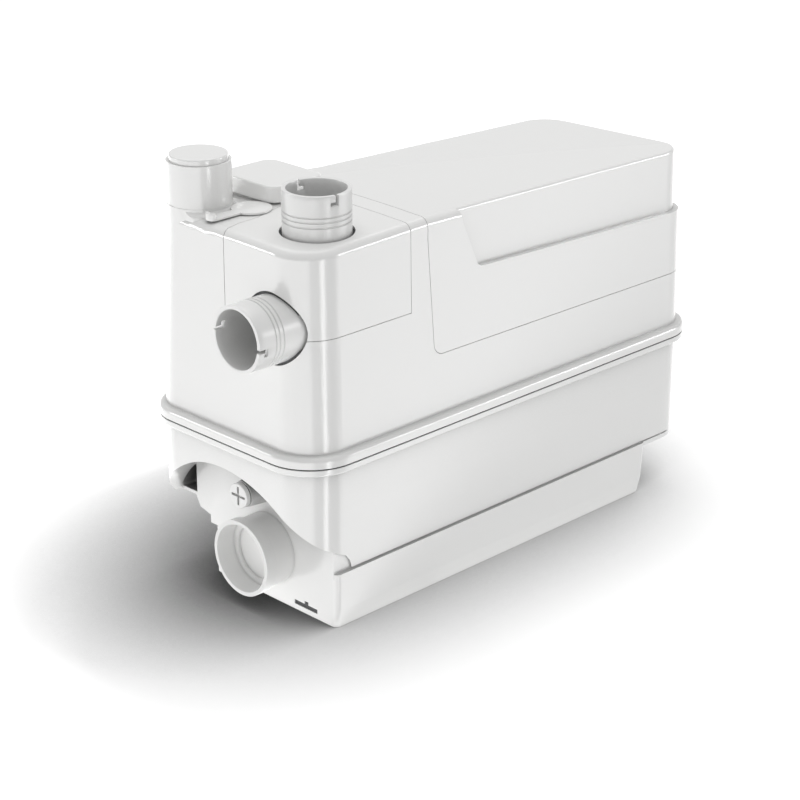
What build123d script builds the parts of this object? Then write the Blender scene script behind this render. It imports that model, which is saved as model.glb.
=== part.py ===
from build123d import *
import os
from math import cos, degrees, radians, sin

# Wastewater lifting station: a small tank with a pump and motor in one white moulded case.
# X runs along the case, the inlets look towards -X, the long side towards -Y is the front,
# and the origin is the floor under the middle of the case.

os.makedirs("parts", exist_ok=True)

# Case as a whole
length = 373.0
depth = 158.0
lip_overhang = 5.5
corner_radius = 28.0
wall = 3.0
seam = 0.4
half_x = length / 2 - lip_overhang
half_y = depth / 2 - lip_overhang

# Joint between tank and upper cover
split_height = 110.0
gasket_thickness = 1.0
lower_lip_height = 4.3
upper_lip_height = 6.8
lower_lip_top = split_height - gasket_thickness / 2
upper_lip_bottom = split_height + gasket_thickness / 2
upper_lip_top = upper_lip_bottom + upper_lip_height

# Tank below the lip
skirt_height = 36.0
skirt_foot_height = 11.0
skirt_left_inset = 20.0
skirt_right_inset = 45.0
skirt_back_inset = 33.5
skirt_proud = 1.5
skirt_corner = 4.0
skirt_foot_inset = 4.4
skirt_waist_inset = 1.8
skirt_front_inset = 0.8
tank_underside = 33.0
end_step_depth = 11.0
floor_thickness = 3.0
skirt_left = -half_x + skirt_left_inset
skirt_right = half_x - skirt_right_inset
skirt_front = -half_y - skirt_proud
skirt_back = half_y - skirt_back_inset

# Upper cover and the slopes of its top
crest_height = 248.0
ridge_from_end = 101.5
rise_to_ridge = 2.5
fall_from_ridge = 6.7
crown = 1.6
# Back slope: height over the middle line, rise along the case, fall to the back and its twist
back_left_height = 246.7
back_left_rise = 0.0095
back_left_fall = 0.040
back_left_twist = 0.0002
back_right_height = 246.9
back_right_drop = 0.045
back_right_fall = 0.056
back_right_twist = 0.00017
top_edge_radius = 6.0
ridge_x = -half_x + ridge_from_end

# Motor cover
motor_cover_bottom = 156.0
motor_cover_rise = 1.5
motor_cover_slant = 5.5
motor_cover_bend = 233.0
motor_cover_lift = 0.8
motor_cover_corner = 8.0
recess_depth = 3.8
recess_start = 31.0
recess_lead = 3.0
recess_bend = 237.0
recess_slant = 14.0
recess_bottom_left = 205.5
recess_bottom_right = 197.0
recess_corner = 6.0

# Corner panel with the two upper inlets
panel_right_from_end = 87.0
panel_bottom = 190.0
panel_edge_y = half_y - 74.0
panel_top_y = half_y - 70.5
panel_steps = (16.0, 31.0, 53.0)
panel_pad_gap = 2.5
panel_right = -half_x + panel_right_from_end

# Upper inlet sockets
socket_radius = 21.0
socket_wall = 2.6
socket_hole_clearance = 1.8
socket_collar_radius = 26.0
socket_collar_thickness = 2.5
top_inlet_x = -half_x + 39.7
top_inlet_y = -half_y + 33.0
top_inlet_rim = 272.7
side_inlet_y = -half_y + 31.6
side_inlet_z = 194.5
side_inlet_rim = -half_x - 26.8
groove_depths = (12.7, 15.6, 18.8)
groove_width = 0.8
groove_cut = 0.5
slot_width = 4.0
slot_depth = 8.0
slot_leg = 9.5
slot_leg_height = 2.8
seal_thickness = 2.0
seal_width = 2.6

# Low inlet with its flap
low_inlet_y = -13.0
low_inlet_z = 35.0
low_rim_radius = 25.0
low_rim_length = 7.5
low_sleeve_radius = 23.6
low_bore_radius = 22.4
low_rim_stand_off = 24.0
low_seat_depth = 14.0
low_seat_thickness = 2.0
low_flap_radius = 20.3
low_flap_thickness = 2.0
low_pin_offset = 19.8
pin_radius = 1.0
pin_clearance = 0.06
pin_fit = 0.02
knuckle_radius = 2.0
knuckle_half = 3.8
lug_width = 3.0
lug_gap = 0.5

# Drain plug on its boss
drain_y = -7.0
drain_z = 74.5
drain_boss_radius = 8.6
drain_boss_base = 9.8
drain_boss_length = 15.5
drain_plug_radius = 8.2
drain_plug_head = 3.0
drain_thread_radius = 5.6
drain_thread_length = 11.0
drain_slot_width = 1.8
drain_slot_depth = 1.6
drain_seal_thickness = 0.8
turn_clearance = 0.3

# Discharge tower
riser_x = -half_x + 21.0
riser_y = half_y - 28.7
riser_radius = 20.2
riser_step = 0.6
riser_wall = 2.6
riser_shoulder = 276.5
cap_radius = 18.3
cap_height = 4.0
cap_plug_depth = 10.0
cap_edge = 1.2
cap_wall = 2.2

# Check valve in the tower
valve_seat_height = 206.0
valve_top = 260.0
valve_clearance = 0.3
valve_barb_radius = 11.5
valve_barb_bore = 9.0
valve_chamber_radius = 15.3
valve_flap_radius = 12.2
valve_flap_thickness = 2.0
valve_pin_offset = 12.4
valve_pin_height = 3.4

# Hose from the pump to the check valve
hose_wall = 2.5
hose_overlap = 12.0
hose_run = 46.0
hose_turn = 71.0
hose_shift = 5.0
hose_rise = 33.0
clamp_width = 9.0
clamp_thickness = 1.2

# Filter pad behind the top inlet
pad_x0 = -half_x + 51.5
pad_x1 = ridge_x - 6.0
pad_y0 = half_y - 62.5
pad_y1 = half_y - 10.0
pad_top = 258.5
pad_corner = 9.0
pad_edge = 1.5
basket_wall = 1.8
basket_depth = 42.0
basket_rim = 1.6
basket_fit = 0.3
basket_pitch = 6.0
basket_hole = 1.5
foam_drop = 2.0

# Pressure tube with its lever cap
tube_x = -half_x + 38.5
tube_y = half_y - 56.5
tube_radius = 9.5
tube_wall = 2.0
tube_bottom = 12.0
tube_collar_radius = 12.0
tube_collar_thickness = 2.5
lever_length = 30.0
lever_radius = 12.0
lever_tip_radius = 5.0
lever_thickness = 2.2
lever_grip_height = 4.5
lever_plug_depth = 8.0

# Deck and bulkhead of the dry motor room
deck_height = 118.0
deck_thickness = 3.5
bulkhead_thickness = 3.0
deck_top = deck_height + deck_thickness

# Motor
pump_x = 52.0
pump_y = -8.0
motor_radius = 42.0
motor_wall = 2.5
motor_height = 88.0
motor_flange_radius = 55.0
motor_flange_thickness = 6.0
end_cap_thickness = 3.0
hub_radius = 18.0
stator_bore = 22.0
stator_height = 50.0
stator_lift = 13.0
air_gap = 0.6
winding_height = 8.0
shaft_radius = 6.0
shaft_bottom = 28.0
bearing_radius = 14.0
bearing_width = 9.0
bearing_clearance = 0.03
screw_circle = 49.5
screw_radius = 2.5
screw_head_radius = 4.5
screw_head_height = 3.5
screw_clearance = 0.2
fin_count = 24
fin_depth = 2.0
fin_width = 2.2

# Pump below the deck
volute_bottom = 27.0
volute_height = 42.0
volute_radius = 38.0
volute_wall = 4.0
neck_radius = 20.0
pump_flange_radius = 55.0
pump_flange_thickness = 6.0
seal_ring_height = 9.0
outlet_radius = 11.5
outlet_bore = 9.0
outlet_offset = 26.0
outlet_z = 52.0
outlet_reach = 56.0
suction_radius = 14.0
suction_thickness = 4.0
impeller_radius = 28.0
impeller_plate = 3.0
vane_height = 12.0
vane_thickness = 3.0
vane_count = 6
impeller_gap = 4.0
strainer_height = 17.0
strainer_radius = 24.0
strainer_wall = 2.5
strainer_slots = 12
strainer_slot_width = 5.0

# Pressure switch in the motor room
switch_z = 190.0
switch_radius = 20.0
switch_length = 16.0
nipple_radius = 3.0
nipple_bore = 1.5
nipple_length = 8.0
air_hose_wall = 1.5
plunger_radius = 3.0
plunger_travel = 1.2
microswitch_size = (10.0, 20.0, 14.0)
bracket_thickness = 2.0

# Capacitor and cable gland
capacitor_x = 140.0
capacitor_y = 24.0
capacitor_radius = 16.0
capacitor_height = 62.0
capacitor_edge = 2.0
gland_x = -52.0
gland_z = deck_top + 14.5
gland_radius = 8.5
gland_bore = 3.7
gland_stand_off = 4.5
gland_nut_thickness = 4.0
gland_thread_radius = 6.0

# Details of the inlets, valves and caps
top_socket_bottom = 228.0
top_collar_lift = 9.3
side_socket_end = -half_x + 22.0
side_collar_lift = 13.2
seat_gap = 0.1
seat_lap = 1.8
flap_chord = 3.4
plug_gap = 0.1
drain_plug_edge = 0.6
valve_barb_length = 18.0
valve_pin_half = 11.0
pad_height = 10.4

# Details of the motor, the pump and the switch
web = 3.5
shaft_hole = 8.0
shaft_tip_gap = 2.0
winding_inner = 25.0
winding_outer = 36.0
seal_outer = 13.0
seal_running = 0.05
impeller_hub = 9.0
impeller_hub_height = 14.0
diaphragm_thickness = 1.0
diaphragm_lift = 3.0
switch_wall = 3.0
plunger_gap = plunger_travel + plug_gap
hose_grip = 5.0
gland_flats = 6

plunger_stand_off = 4.0
lever_bottom = 246.8
lever_offset = 0.8
lever_root_radius = 3.6
lever_grip_wall = 2.4

# Details of the tank
near_cut_depth = 1.2
groove_height = 1.2
cavity_top = 92.9
pocket_front = half_y - 16.8
pocket_back = half_y - 2.5
pocket_bottom = 50.5
pocket_top = 70.0
pocket_depth = 22.0
key_slot_y = -half_y + 27.0
key_slot_z = 5.0
key_slot_width = 21.0
key_slot_height = 3.0
key_slot_depth = 1.5
key_notch_width = 3.5
key_notch_height = 1.0
gasket_inset = 0.8
socket_rim_edge = 0.8
slot_angles = (65.0, 245.0)

# Details of the upper cover
lip_edge = 3.0
lower_lip_edge = 1.5
ledge_bottom = 147.0
ledge_top = 161.0
ledge_root = 5.0
ledge_thickness = 2.0
ledge_start = 11.0
tower_bottom = 165.0
shelf_height = 4.0
shelf_radius = 14.0
valve_bottom = tower_bottom + shelf_height
foot_width = 4.0
foot_top = 250.0
foot_bottom = 243.0
root_bottom = 236.0
stop_step = 0.3
coaming_top = 252.0
coaming_bottom = 238.0
coaming_inset = 4.0
coaming_wall = 2.0
boss_bottom = 236.0
boss_top = 245.0
boss_radius = 13.0
deck_opening = 30.0
gland_boss_radius = 10.5
gland_boss_inner = half_y - 7.5
gland_boss_outer = half_y - 0.3

# Motor and pump heights
flange_top = deck_top + motor_flange_thickness
housing_top = flange_top + motor_height
stator_bottom = flange_top + stator_lift
stator_top = stator_bottom + stator_height
bearing_low = deck_top + web
bearing_high = housing_top - bearing_width
neck_top = deck_height - pump_flange_thickness
screw_end = neck_top + web
volute_top = volute_bottom + volute_height
impeller_z = volute_bottom + volute_wall + impeller_gap

# Corner radii run front left, front right, back right, back left
cover_radii = (corner_radius, corner_radius - 3, corner_radius - 3, riser_radius + 1)
top_radii = (corner_radius - 0.8, corner_radius - 4, corner_radius - 4, riser_radius)
lip_radii = (corner_radius + lip_overhang, corner_radius + 2.5, corner_radius + 2.5, riser_radius + 9)
back_lean = 8.7
front_lean = 1.7
left_lean = 0.8
right_lean = 2.6
lean_height = 122.7
block_top = 262.0
reach = 100.0


def outline(z, left, right, front, back, radii):
    # Plan outline at height z with its own radius at each corner
    a, b, c, d = radii
    with BuildSketch(Plane.XY.offset(z)) as face:
        with BuildLine():
            Line((left + a, front), (right - b, front))
            CenterArc((right - b, front + b), b, -90, 90)
            Line((right, front + b), (right, back - c))
            CenterArc((right - c, back - c), c, 0, 90)
            Line((right - c, back), (left + d, back))
            CenterArc((left + d, back - d), d, 90, 90)
            Line((left, back - d), (left, front + a))
            CenterArc((left + a, front + a), a, 180, 90)
        make_face()
    return face.sketch


def cover_outline(z, inset):
    # Outline of the upper walls, which lean in towards the top
    t = (z - upper_lip_top) / lean_height
    radii = [low + (high - low) * t - inset for low, high in zip(cover_radii, top_radii)]
    left = -half_x + left_lean * t + inset
    right = half_x - right_lean * t - inset
    front = -half_y + front_lean * t + inset
    back = half_y - back_lean * t - inset
    return outline(z, left, right, front, back, radii)


def near_height(x, y, slope):
    return crest_height + slope * (x - ridge_x) - crown * (y / half_y) ** 2


near_slope_left = rise_to_ridge / ridge_from_end
near_slope_right = -fall_from_ridge / (2 * half_x - ridge_from_end)


def near_cutter(slope, sink):
    # Everything above the front part of the top, an arc that runs along the case
    with BuildPart() as cutter:
        for x in (-2 * reach, 2 * reach):
            with BuildSketch(Plane.YZ.offset(x)):
                with BuildLine():
                    ends = [(y, near_height(x, y, slope) - sink) for y in (-reach, 0, reach)]
                    ThreePointArc(*ends)
                    Polyline(ends[2], (reach, 3 * reach), (-reach, 3 * reach), ends[0])
                make_face()
        loft(ruled=True)
    return cutter.part


def far_height_left(x, y):
    along = x + half_x
    return back_left_height + back_left_rise * along - (back_left_fall + back_left_twist * along) * y


def far_height_right(x, y):
    return back_right_height - back_right_drop * x - (back_right_fall - back_right_twist * x) * y


def far_cutter(height, sink):
    # Everything above the back part of the top, a slope that twists along the case
    with BuildPart() as cutter:
        for x in (-2 * reach, 2 * reach):
            with BuildSketch(Plane.YZ.offset(x)):
                front = (-reach, height(x, -reach) - sink)
                back = (reach, height(x, reach) - sink)
                with BuildLine():
                    Polyline(front, back, (reach, 3 * reach), (-reach, 3 * reach), close=True)
                make_face()
        loft(ruled=True)
    return cutter.part


def slab(x0, x1):
    # Tall box between two planes across the case, used to keep one stretch of it
    with BuildPart() as box:
        with Locations(((x0 + x1) / 2, 0, reach)):
            Box(x1 - x0, 3 * reach, 3 * reach)
    return box.part


def case_block(inset, sink, bottom, stretch, near_slope, far_height):
    # One stretch of the case as a solid, with its sloped top and rounded top edge
    with BuildPart() as block:
        loft(sections=[cover_outline(z, inset).face() for z in (bottom, block_top)], ruled=True)
        add(near_cutter(near_slope, sink), mode=Mode.SUBTRACT)
        add(far_cutter(far_height, sink), mode=Mode.SUBTRACT)
        add(slab(*stretch), mode=Mode.INTERSECT)
        walls = block.faces().filter_by(lambda face: abs(face.normal_at(None).Z) < 0.3)
        walls = walls.filter_by(lambda face: abs(face.center().X - ridge_x) > 1)
        tops = block.faces().filter_by(lambda face: face.normal_at(None).Z > 0.9)
        rim = tops.edges().filter_by(lambda edge: any(edge.is_same(other) for other in walls.edges()))
        fillet(rim, max(top_edge_radius - inset, 2))
    return block.part


def left_block(inset, sink, bottom):
    return case_block(inset, sink, bottom, (-3 * reach, ridge_x), near_slope_left, far_height_left)


def right_block(inset, sink, bottom):
    return case_block(inset, sink, bottom, (ridge_x, 3 * reach), near_slope_right, far_height_right)


def side_region(points, corners, grow):
    # Side view outline, rounded at the named corners, as a prism through the case
    with BuildPart() as prism:
        with BuildSketch(Plane.XZ.offset(-reach)):
            with BuildLine():
                Polyline(*points, close=True)
            make_face()
            for number, radius in corners:
                x, z = points[number]
                fillet(vertices().sort_by_distance((x, z, 0))[0], radius)
            if grow:
                offset(amount=grow, kind=Kind.INTERSECTION)
        extrude(amount=2 * reach)
    return prism.part


def prism(plane, points, depth):
    # Straight-sided outline on a plane, extruded along its normal
    with BuildPart() as block:
        with BuildSketch(plane):
            Polygon(*points, align=None)
        extrude(amount=depth)
    return block.part


def box(x0, x1, y0, y1, z0, z1):
    # Plain box between its six planes
    with BuildPart() as block:
        with Locations(((x0 + x1) / 2, (y0 + y1) / 2, (z0 + z1) / 2)):
            Box(x1 - x0, y1 - y0, z1 - z0)
    return block.part


def ring(plane, outer, inner, height):
    # Round tube or washer standing on a plane
    with BuildPart() as tube:
        with BuildSketch(plane):
            Circle(outer)
            if inner:
                Circle(inner, mode=Mode.SUBTRACT)
        extrude(amount=height)
    return tube.part


def cone(plane, low, high, height):
    # Tapered round boss standing on a plane
    with BuildPart() as boss:
        with BuildSketch(plane):
            Circle(low)
        with BuildSketch(plane.offset(height)):
            Circle(high)
        loft(ruled=True)
    return boss.part


def vertical(x, y, z):
    return Plane(origin=(x, y, z), x_dir=(1, 0, 0), z_dir=(0, 0, 1))


def towards_left(x, y, z):
    # Plane that looks along -X, with its own x axis up
    return Plane(origin=(x, y, z), x_dir=(0, 0, 1), z_dir=(-1, 0, 0))


def screw_set(z, radius, height):
    # Four round bars on the bolt circle of the motor
    with BuildPart() as bars:
        with BuildSketch(Plane.XY.offset(z)):
            with Locations((pump_x, pump_y)):
                with PolarLocations(screw_circle, 4, start_angle=45):
                    Circle(radius)
        extrude(amount=height)
    return bars.part


# Motor cover: the region it takes and the set-back region of its upper part
cover_side = [
    (ridge_x, 3 * reach),
    (ridge_x, motor_cover_bend),
    (ridge_x + motor_cover_slant, motor_cover_bottom + motor_cover_lift),
    (2 * reach, motor_cover_bottom - motor_cover_rise),
    (2 * reach, 3 * reach),
]
recess_side = [
    (ridge_x + recess_start - recess_lead, crest_height),
    (ridge_x + recess_start, recess_bend),
    (ridge_x + recess_start + recess_slant, recess_bottom_left),
    (2 * reach, recess_bottom_right),
    (2 * reach, 3 * reach),
    (ridge_x + recess_start - recess_lead, 3 * reach),
]


def motor_region(grow):
    return side_region(cover_side, [(2, motor_cover_corner)], grow)


def recess_region(grow):
    return side_region(recess_side, [(2, recess_corner)], grow)


with BuildPart() as recess_outer:
    add(right_block(recess_depth, 0, upper_lip_bottom))
    add(recess_region(0), mode=Mode.INTERSECT)

with BuildPart() as recess_core:
    add(right_block(recess_depth + wall, wall, upper_lip_bottom))
    add(recess_region(wall), mode=Mode.INTERSECT)

with BuildPart() as right_core:
    add(right_block(wall, wall, upper_lip_bottom))
    add(recess_region(wall), mode=Mode.SUBTRACT)

with BuildPart() as right_shell:
    add(right_block(0, 0, upper_lip_bottom))
    add(recess_region(0), mode=Mode.SUBTRACT)
    add(recess_outer.part)
    add(right_core.part, mode=Mode.SUBTRACT)
    add(recess_core.part, mode=Mode.SUBTRACT)

with BuildPart() as motor_cover:
    add(right_shell.part)
    add(motor_region(-seam / 2), mode=Mode.INTERSECT)

# Corner panel: the region it takes, in plan and in height
panel_plan = [
    (-2 * reach, panel_edge_y),
    (-half_x, panel_edge_y),
    (-half_x + panel_steps[0], panel_top_y),
    (-half_x + panel_steps[1], panel_top_y),
    (-half_x + panel_steps[2], pad_y0 - panel_pad_gap),
    (panel_right, pad_y0 - panel_pad_gap),
    (panel_right, -reach),
    (-2 * reach, -reach),
]


def panel_region(grow):
    with BuildPart() as region:
        with BuildSketch(Plane.XY.offset(panel_bottom - grow)):
            Polygon(*panel_plan, align=None)
            if grow:
                offset(amount=grow, kind=Kind.INTERSECTION)
        extrude(amount=reach)
    return region.part


with BuildPart() as left_shell:
    add(left_block(0, 0, upper_lip_bottom))
    add(left_block(wall, wall, upper_lip_bottom), mode=Mode.SUBTRACT)

socket_hole = socket_radius + socket_hole_clearance
top_hole = ring(vertical(top_inlet_x, top_inlet_y, panel_bottom), socket_hole, 0, reach)
side_hole_plane = towards_left(side_socket_end, side_inlet_y, side_inlet_z)
side_hole = ring(side_hole_plane, socket_hole, 0, reach)

with BuildPart() as corner_panel:
    add(left_shell.part)
    add(panel_region(-seam / 2), mode=Mode.INTERSECT)
    add(top_hole, mode=Mode.SUBTRACT)
    add(side_hole, mode=Mode.SUBTRACT)

# Upper cover with its lip, deck, bulkhead and discharge tower
flange_left = -length / 2
flange_right = length / 2
flange_front = -depth / 2
flange_back = depth / 2

tower_inner = riser_radius - riser_wall
pad_centre = ((pad_x0 + pad_x1) / 2, (pad_y0 + pad_y1) / 2)


def pad_block(inset, z0, z1):
    # Rounded rectangle of the filter pad, drawn in by inset
    with BuildPart() as block:
        with BuildSketch(Plane.XY.offset(z0)):
            with Locations(pad_centre):
                RectangleRounded(pad_x1 - pad_x0 - 2 * inset, pad_y1 - pad_y0 - 2 * inset, pad_corner - inset)
        extrude(amount=z1 - z0)
    return block.part


def walls_block(inset, bottom, top):
    # Upper walls as a plain solid without the sloped top
    with BuildPart() as block:
        loft(sections=[cover_outline(z, inset).face() for z in (bottom, top)], ruled=True)
    return block.part


# Parts that are moulded onto the upper cover
with BuildPart() as tower_foot:
    foot_x = riser_x + riser_radius
    with BuildSketch(Plane.XZ.offset(-riser_y)):
        with BuildLine():
            foot_edge = foot_x + foot_width
            foot_shoulder = (foot_edge, foot_top - foot_width)
            inner_side = [(foot_x, foot_top), (riser_x, foot_top), (riser_x, foot_bottom)]
            Polyline(*inner_side, (foot_edge, foot_bottom))
            Line((foot_edge, foot_bottom), foot_shoulder)
            RadiusArc(foot_shoulder, (foot_x, foot_top), foot_width)
        make_face()
    revolve(axis=Axis((riser_x, riser_y, 0), (0, 0, 1)))
    add(walls_block(wall / 2, upper_lip_bottom, block_top), mode=Mode.INTERSECT)
    # The lever cap turns past the foot
    lever_room = ring(vertical(tube_x, tube_y, lever_bottom - turn_clearance), lever_radius + seam, 0, wall)
    add(lever_room, mode=Mode.SUBTRACT)

with BuildPart() as ledge:
    add(walls_block(wall + seam + 0.3, ledge_bottom, ledge_top))
    add(walls_block(wall / 2, ledge_bottom, ledge_bottom + ledge_root))
    add(walls_block(wall + seam + ledge_thickness, ledge_bottom - 1, ledge_top + 1), mode=Mode.SUBTRACT)
    add(slab(ridge_x + ledge_start, 3 * reach), mode=Mode.INTERSECT)

with BuildPart() as bulkhead:
    add(left_block(wall / 2, wall / 2, deck_height))
    add(slab(ridge_x - seam / 2 - bulkhead_thickness, ridge_x - seam / 2), mode=Mode.INTERSECT)

with BuildPart() as deck:
    add(walls_block(wall / 2, deck_height, deck_top))
    add(slab(ridge_x - seam / 2 - bulkhead_thickness, 3 * reach), mode=Mode.INTERSECT)

with BuildPart() as upper_cover:
    add(outline(upper_lip_bottom, flange_left, flange_right, flange_front, flange_back, lip_radii))
    extrude(amount=upper_lip_height)
    fillet(upper_cover.faces().sort_by(Axis.Z)[-1].outer_wire().edges(), lip_edge)
    add(walls_block(wall, upper_lip_bottom - 1, upper_lip_bottom + 2 * upper_lip_height), mode=Mode.SUBTRACT)
    add(left_shell.part)
    add(right_shell.part)
    add(motor_region(seam / 2), mode=Mode.SUBTRACT)
    add(bulkhead.part)
    add(deck.part)
    add(ledge.part)
    # Discharge tower with its foot and the shelf that carries the check valve
    add(ring(vertical(riser_x, riser_y, tower_bottom), riser_radius - riser_step, 0, foot_top - tower_bottom))
    tower_root = vertical(riser_x, riser_y, root_bottom)
    add(cone(tower_root, riser_radius, riser_radius + stop_step, foot_top - root_bottom))
    add(ring(vertical(riser_x, riser_y, foot_top), riser_radius, 0, riser_shoulder - foot_top))
    add(tower_foot.part)
    add(ring(vertical(riser_x, riser_y, 0), tower_inner, 0, 3 * reach), mode=Mode.SUBTRACT)
    add(ring(vertical(riser_x, riser_y, tower_bottom), tower_inner + 0.5, shelf_radius, shelf_height))
    # Coaming of the filter and boss of the pressure tube
    add(pad_block(coaming_inset, coaming_bottom, coaming_top))
    add(pad_block(coaming_inset + coaming_wall, panel_bottom, coaming_top), mode=Mode.SUBTRACT)
    add(ring(vertical(tube_x, tube_y, boss_bottom), boss_radius, 0, boss_top - boss_bottom))
    add(ring(vertical(tube_x, tube_y, panel_bottom), tube_radius, 0, reach), mode=Mode.SUBTRACT)
    # Room for the corner panel and its inlets
    add(panel_region(seam / 2), mode=Mode.SUBTRACT)
    add(top_hole, mode=Mode.SUBTRACT)
    add(side_hole, mode=Mode.SUBTRACT)
    # Openings for the pump, its screws, the air hose and the cable gland
    pump_hole = ring(vertical(pump_x, pump_y, deck_height - 1), deck_opening, 0, 2 * deck_thickness)
    add(pump_hole, mode=Mode.SUBTRACT)
    add(screw_set(deck_height, screw_radius + screw_clearance, deck_thickness), mode=Mode.SUBTRACT)
    nipple_room = nipple_radius + screw_clearance
    nipple_hole = ring(towards_left(ridge_x + 1, tube_y, switch_z), nipple_room, 0, reach / 10)
    add(nipple_hole, mode=Mode.SUBTRACT)
    gland_plane = Plane(origin=(gland_x, gland_boss_inner, gland_z), x_dir=(1, 0, 0), z_dir=(0, 1, 0))
    add(ring(gland_plane, gland_boss_radius, 0, gland_boss_outer - gland_boss_inner))
    gland_hole = ring(gland_plane.offset(-wall), gland_thread_radius + screw_clearance / 2, 0, reach)
    add(gland_hole, mode=Mode.SUBTRACT)

# Tank with its skirt, lip, recess, pocket and drain boss
# The profiles of the underside run from the skirt outwards, as distance in from the case's face and height
underside = [(half_y - into, z) for into, z in ((30.5, 20), (29.5, 38.5), (19.5, 41), (15.5, 48.4))]
underside = underside + [(reach, 48.5), (reach, 20)]
end_step = [(half_x - into, z) for into, z in ((-0.8, 60), (0.6, 55.5), (6.5, 49.5), (10.2, 30))]
end_step = [(2 * reach, 60)] + end_step + [(2 * reach, 30)]
arch_back = [(half_y - into, z) for into, z in ((0.1, 47), (18.5, 72), (43.5, 86.3))]
arch_front = [(-half_y + into, z) for into, z in ((48.5, 84), (23.5, 71.3), (1.5, 52))]
arch = arch_back + [(5, 89.6)] + arch_front
near_cut = [(skirt_left + into, z) for into, z in ((14.5, 36), (13, 42), (9.5, 46.7), (1.5, 50.5))]
near_cut = [(-2 * reach, 36)] + near_cut + [(-2 * reach, 53)]
cavity_back = ((37, 3), (35, 30), (32.5, 41.5), (22, 44), (18.5, 51.5), (-wall, 51.6), (-wall, 93))
cavity_side = [(half_y - into, z) for into, z in cavity_back] + [(-reach, 93), (-reach, 3)]
skirt_radii = (skirt_corner, skirt_corner, skirt_corner, skirt_corner)
tank_radii = [radius - wall for radius in cover_radii]
lip_sides = (flange_left, flange_right, flange_front, flange_back)
case_sides = (-half_x + wall, half_x - wall, -half_y + wall, half_y - wall)

with BuildPart() as end_recess:
    with BuildSketch(Plane.YZ.offset(-2 * reach)):
        with BuildLine():
            Spline(*arch)
            Polyline(arch[-1], (-reach, 40), (-reach, -5), (reach, -5), (reach, arch[0][1]), arch[0])
        make_face()
    extrude(amount=2 * reach + skirt_left)

with BuildPart() as tank_lip:
    add(outline(lower_lip_top - lower_lip_height, *lip_sides, lip_radii))
    extrude(amount=lower_lip_height)
    fillet(tank_lip.faces().sort_by(Axis.Z)[0].outer_wire().edges(), lower_lip_edge)

with BuildPart() as skirt:
    foot = (skirt_left, skirt_right - skirt_foot_inset, skirt_front + skirt_front_inset, skirt_back)
    waist = (skirt_left, skirt_right - skirt_waist_inset, skirt_front, skirt_back)
    low = outline(0, *foot, skirt_radii)
    middle = outline(skirt_foot_height, *waist, skirt_radii)
    high = outline(skirt_height, skirt_left, skirt_right, skirt_front, skirt_back, skirt_radii)
    loft(sections=[low.face(), middle.face(), high.face()], ruled=True)

with BuildPart() as cavity:
    add(outline(floor_thickness, *case_sides, tank_radii))
    extrude(amount=lower_lip_top - floor_thickness)
    add(prism(Plane.YZ.offset(-2 * reach), cavity_side, 4 * reach), mode=Mode.INTERSECT)
    add(slab(skirt_left + wall, half_x - end_step_depth - wall), mode=Mode.INTERSECT)
    beside = box(skirt_right - 2 * wall, 2 * reach, -reach, reach, 0, skirt_height + wall)
    add(beside, mode=Mode.SUBTRACT)


pocket_end = skirt_left + pocket_depth
pocket_sides = (pocket_front - wall, half_y - 1, pocket_bottom - 1, pocket_top + wall)
pocket_walls = box(skirt_left, pocket_end + wall, *pocket_sides)
pocket_room = box(skirt_left - 1, pocket_end, pocket_front, pocket_back, pocket_bottom, pocket_top)

with BuildPart() as tank:
    add(outline(tank_underside, -half_x, half_x, -half_y, half_y, cover_radii))
    extrude(amount=lower_lip_top - tank_underside)
    add(prism(Plane.YZ.offset(-2 * reach), underside, 4 * reach), mode=Mode.SUBTRACT)
    add(prism(Plane.XZ.offset(reach), end_step, -2 * reach), mode=Mode.SUBTRACT)
    add(skirt.part)
    add(tank_lip.part)
    # Arched recess at the end, cut back round the near corner
    add(end_recess.part, mode=Mode.SUBTRACT)
    add(prism(Plane.XZ.offset(reach), near_cut, -(reach - half_y + near_cut_depth)), mode=Mode.SUBTRACT)
    groove_back = -half_y + near_cut_depth
    groove = box(-2 * reach, 2 * reach, -reach, groove_back, skirt_height, skirt_height + groove_height)
    add(groove, mode=Mode.SUBTRACT)
    boss_plane = towards_left(skirt_left, drain_y, drain_z)
    add(cone(boss_plane, drain_boss_base, drain_boss_radius, drain_boss_length))
    # Wet room
    add(cavity.part, mode=Mode.SUBTRACT)
    add(outline(cavity_top, *case_sides, tank_radii))
    extrude(amount=lower_lip_top - cavity_top, mode=Mode.SUBTRACT)
    # Hand pocket as a box with its own walls inside the wet room
    add(pocket_walls)
    add(pocket_room, mode=Mode.SUBTRACT)
    # Holes of the low inlet and the drain, and the blind key slot under them
    low_hole = towards_left(skirt_left + 2 * wall, low_inlet_y, low_inlet_z)
    drain_hole = towards_left(skirt_left + 2 * wall, drain_y, drain_z)
    add(ring(low_hole, low_sleeve_radius, 0, reach), mode=Mode.SUBTRACT)
    add(ring(drain_hole, drain_thread_radius + turn_clearance, 0, reach), mode=Mode.SUBTRACT)
    with Locations((skirt_left, key_slot_y, key_slot_z)):
        Box(2 * key_slot_depth, key_slot_width, key_slot_height, mode=Mode.SUBTRACT)
    with Locations((skirt_left, key_slot_y - 0.5, key_slot_z + key_slot_height / 2)):
        Box(2 * key_slot_depth, key_notch_width, key_slot_height + key_notch_height, mode=Mode.SUBTRACT)

with BuildPart() as tank_gasket:
    low_radii = [radius - gasket_inset for radius in lip_radii]
    insets = (gasket_inset, -gasket_inset, gasket_inset, -gasket_inset)
    add(outline(lower_lip_top, *[side + inset for side, inset in zip(lip_sides, insets)], low_radii))
    extrude(amount=gasket_thickness)
    add(outline(lower_lip_top, *case_sides, tank_radii))
    extrude(amount=gasket_thickness, mode=Mode.SUBTRACT)


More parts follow.
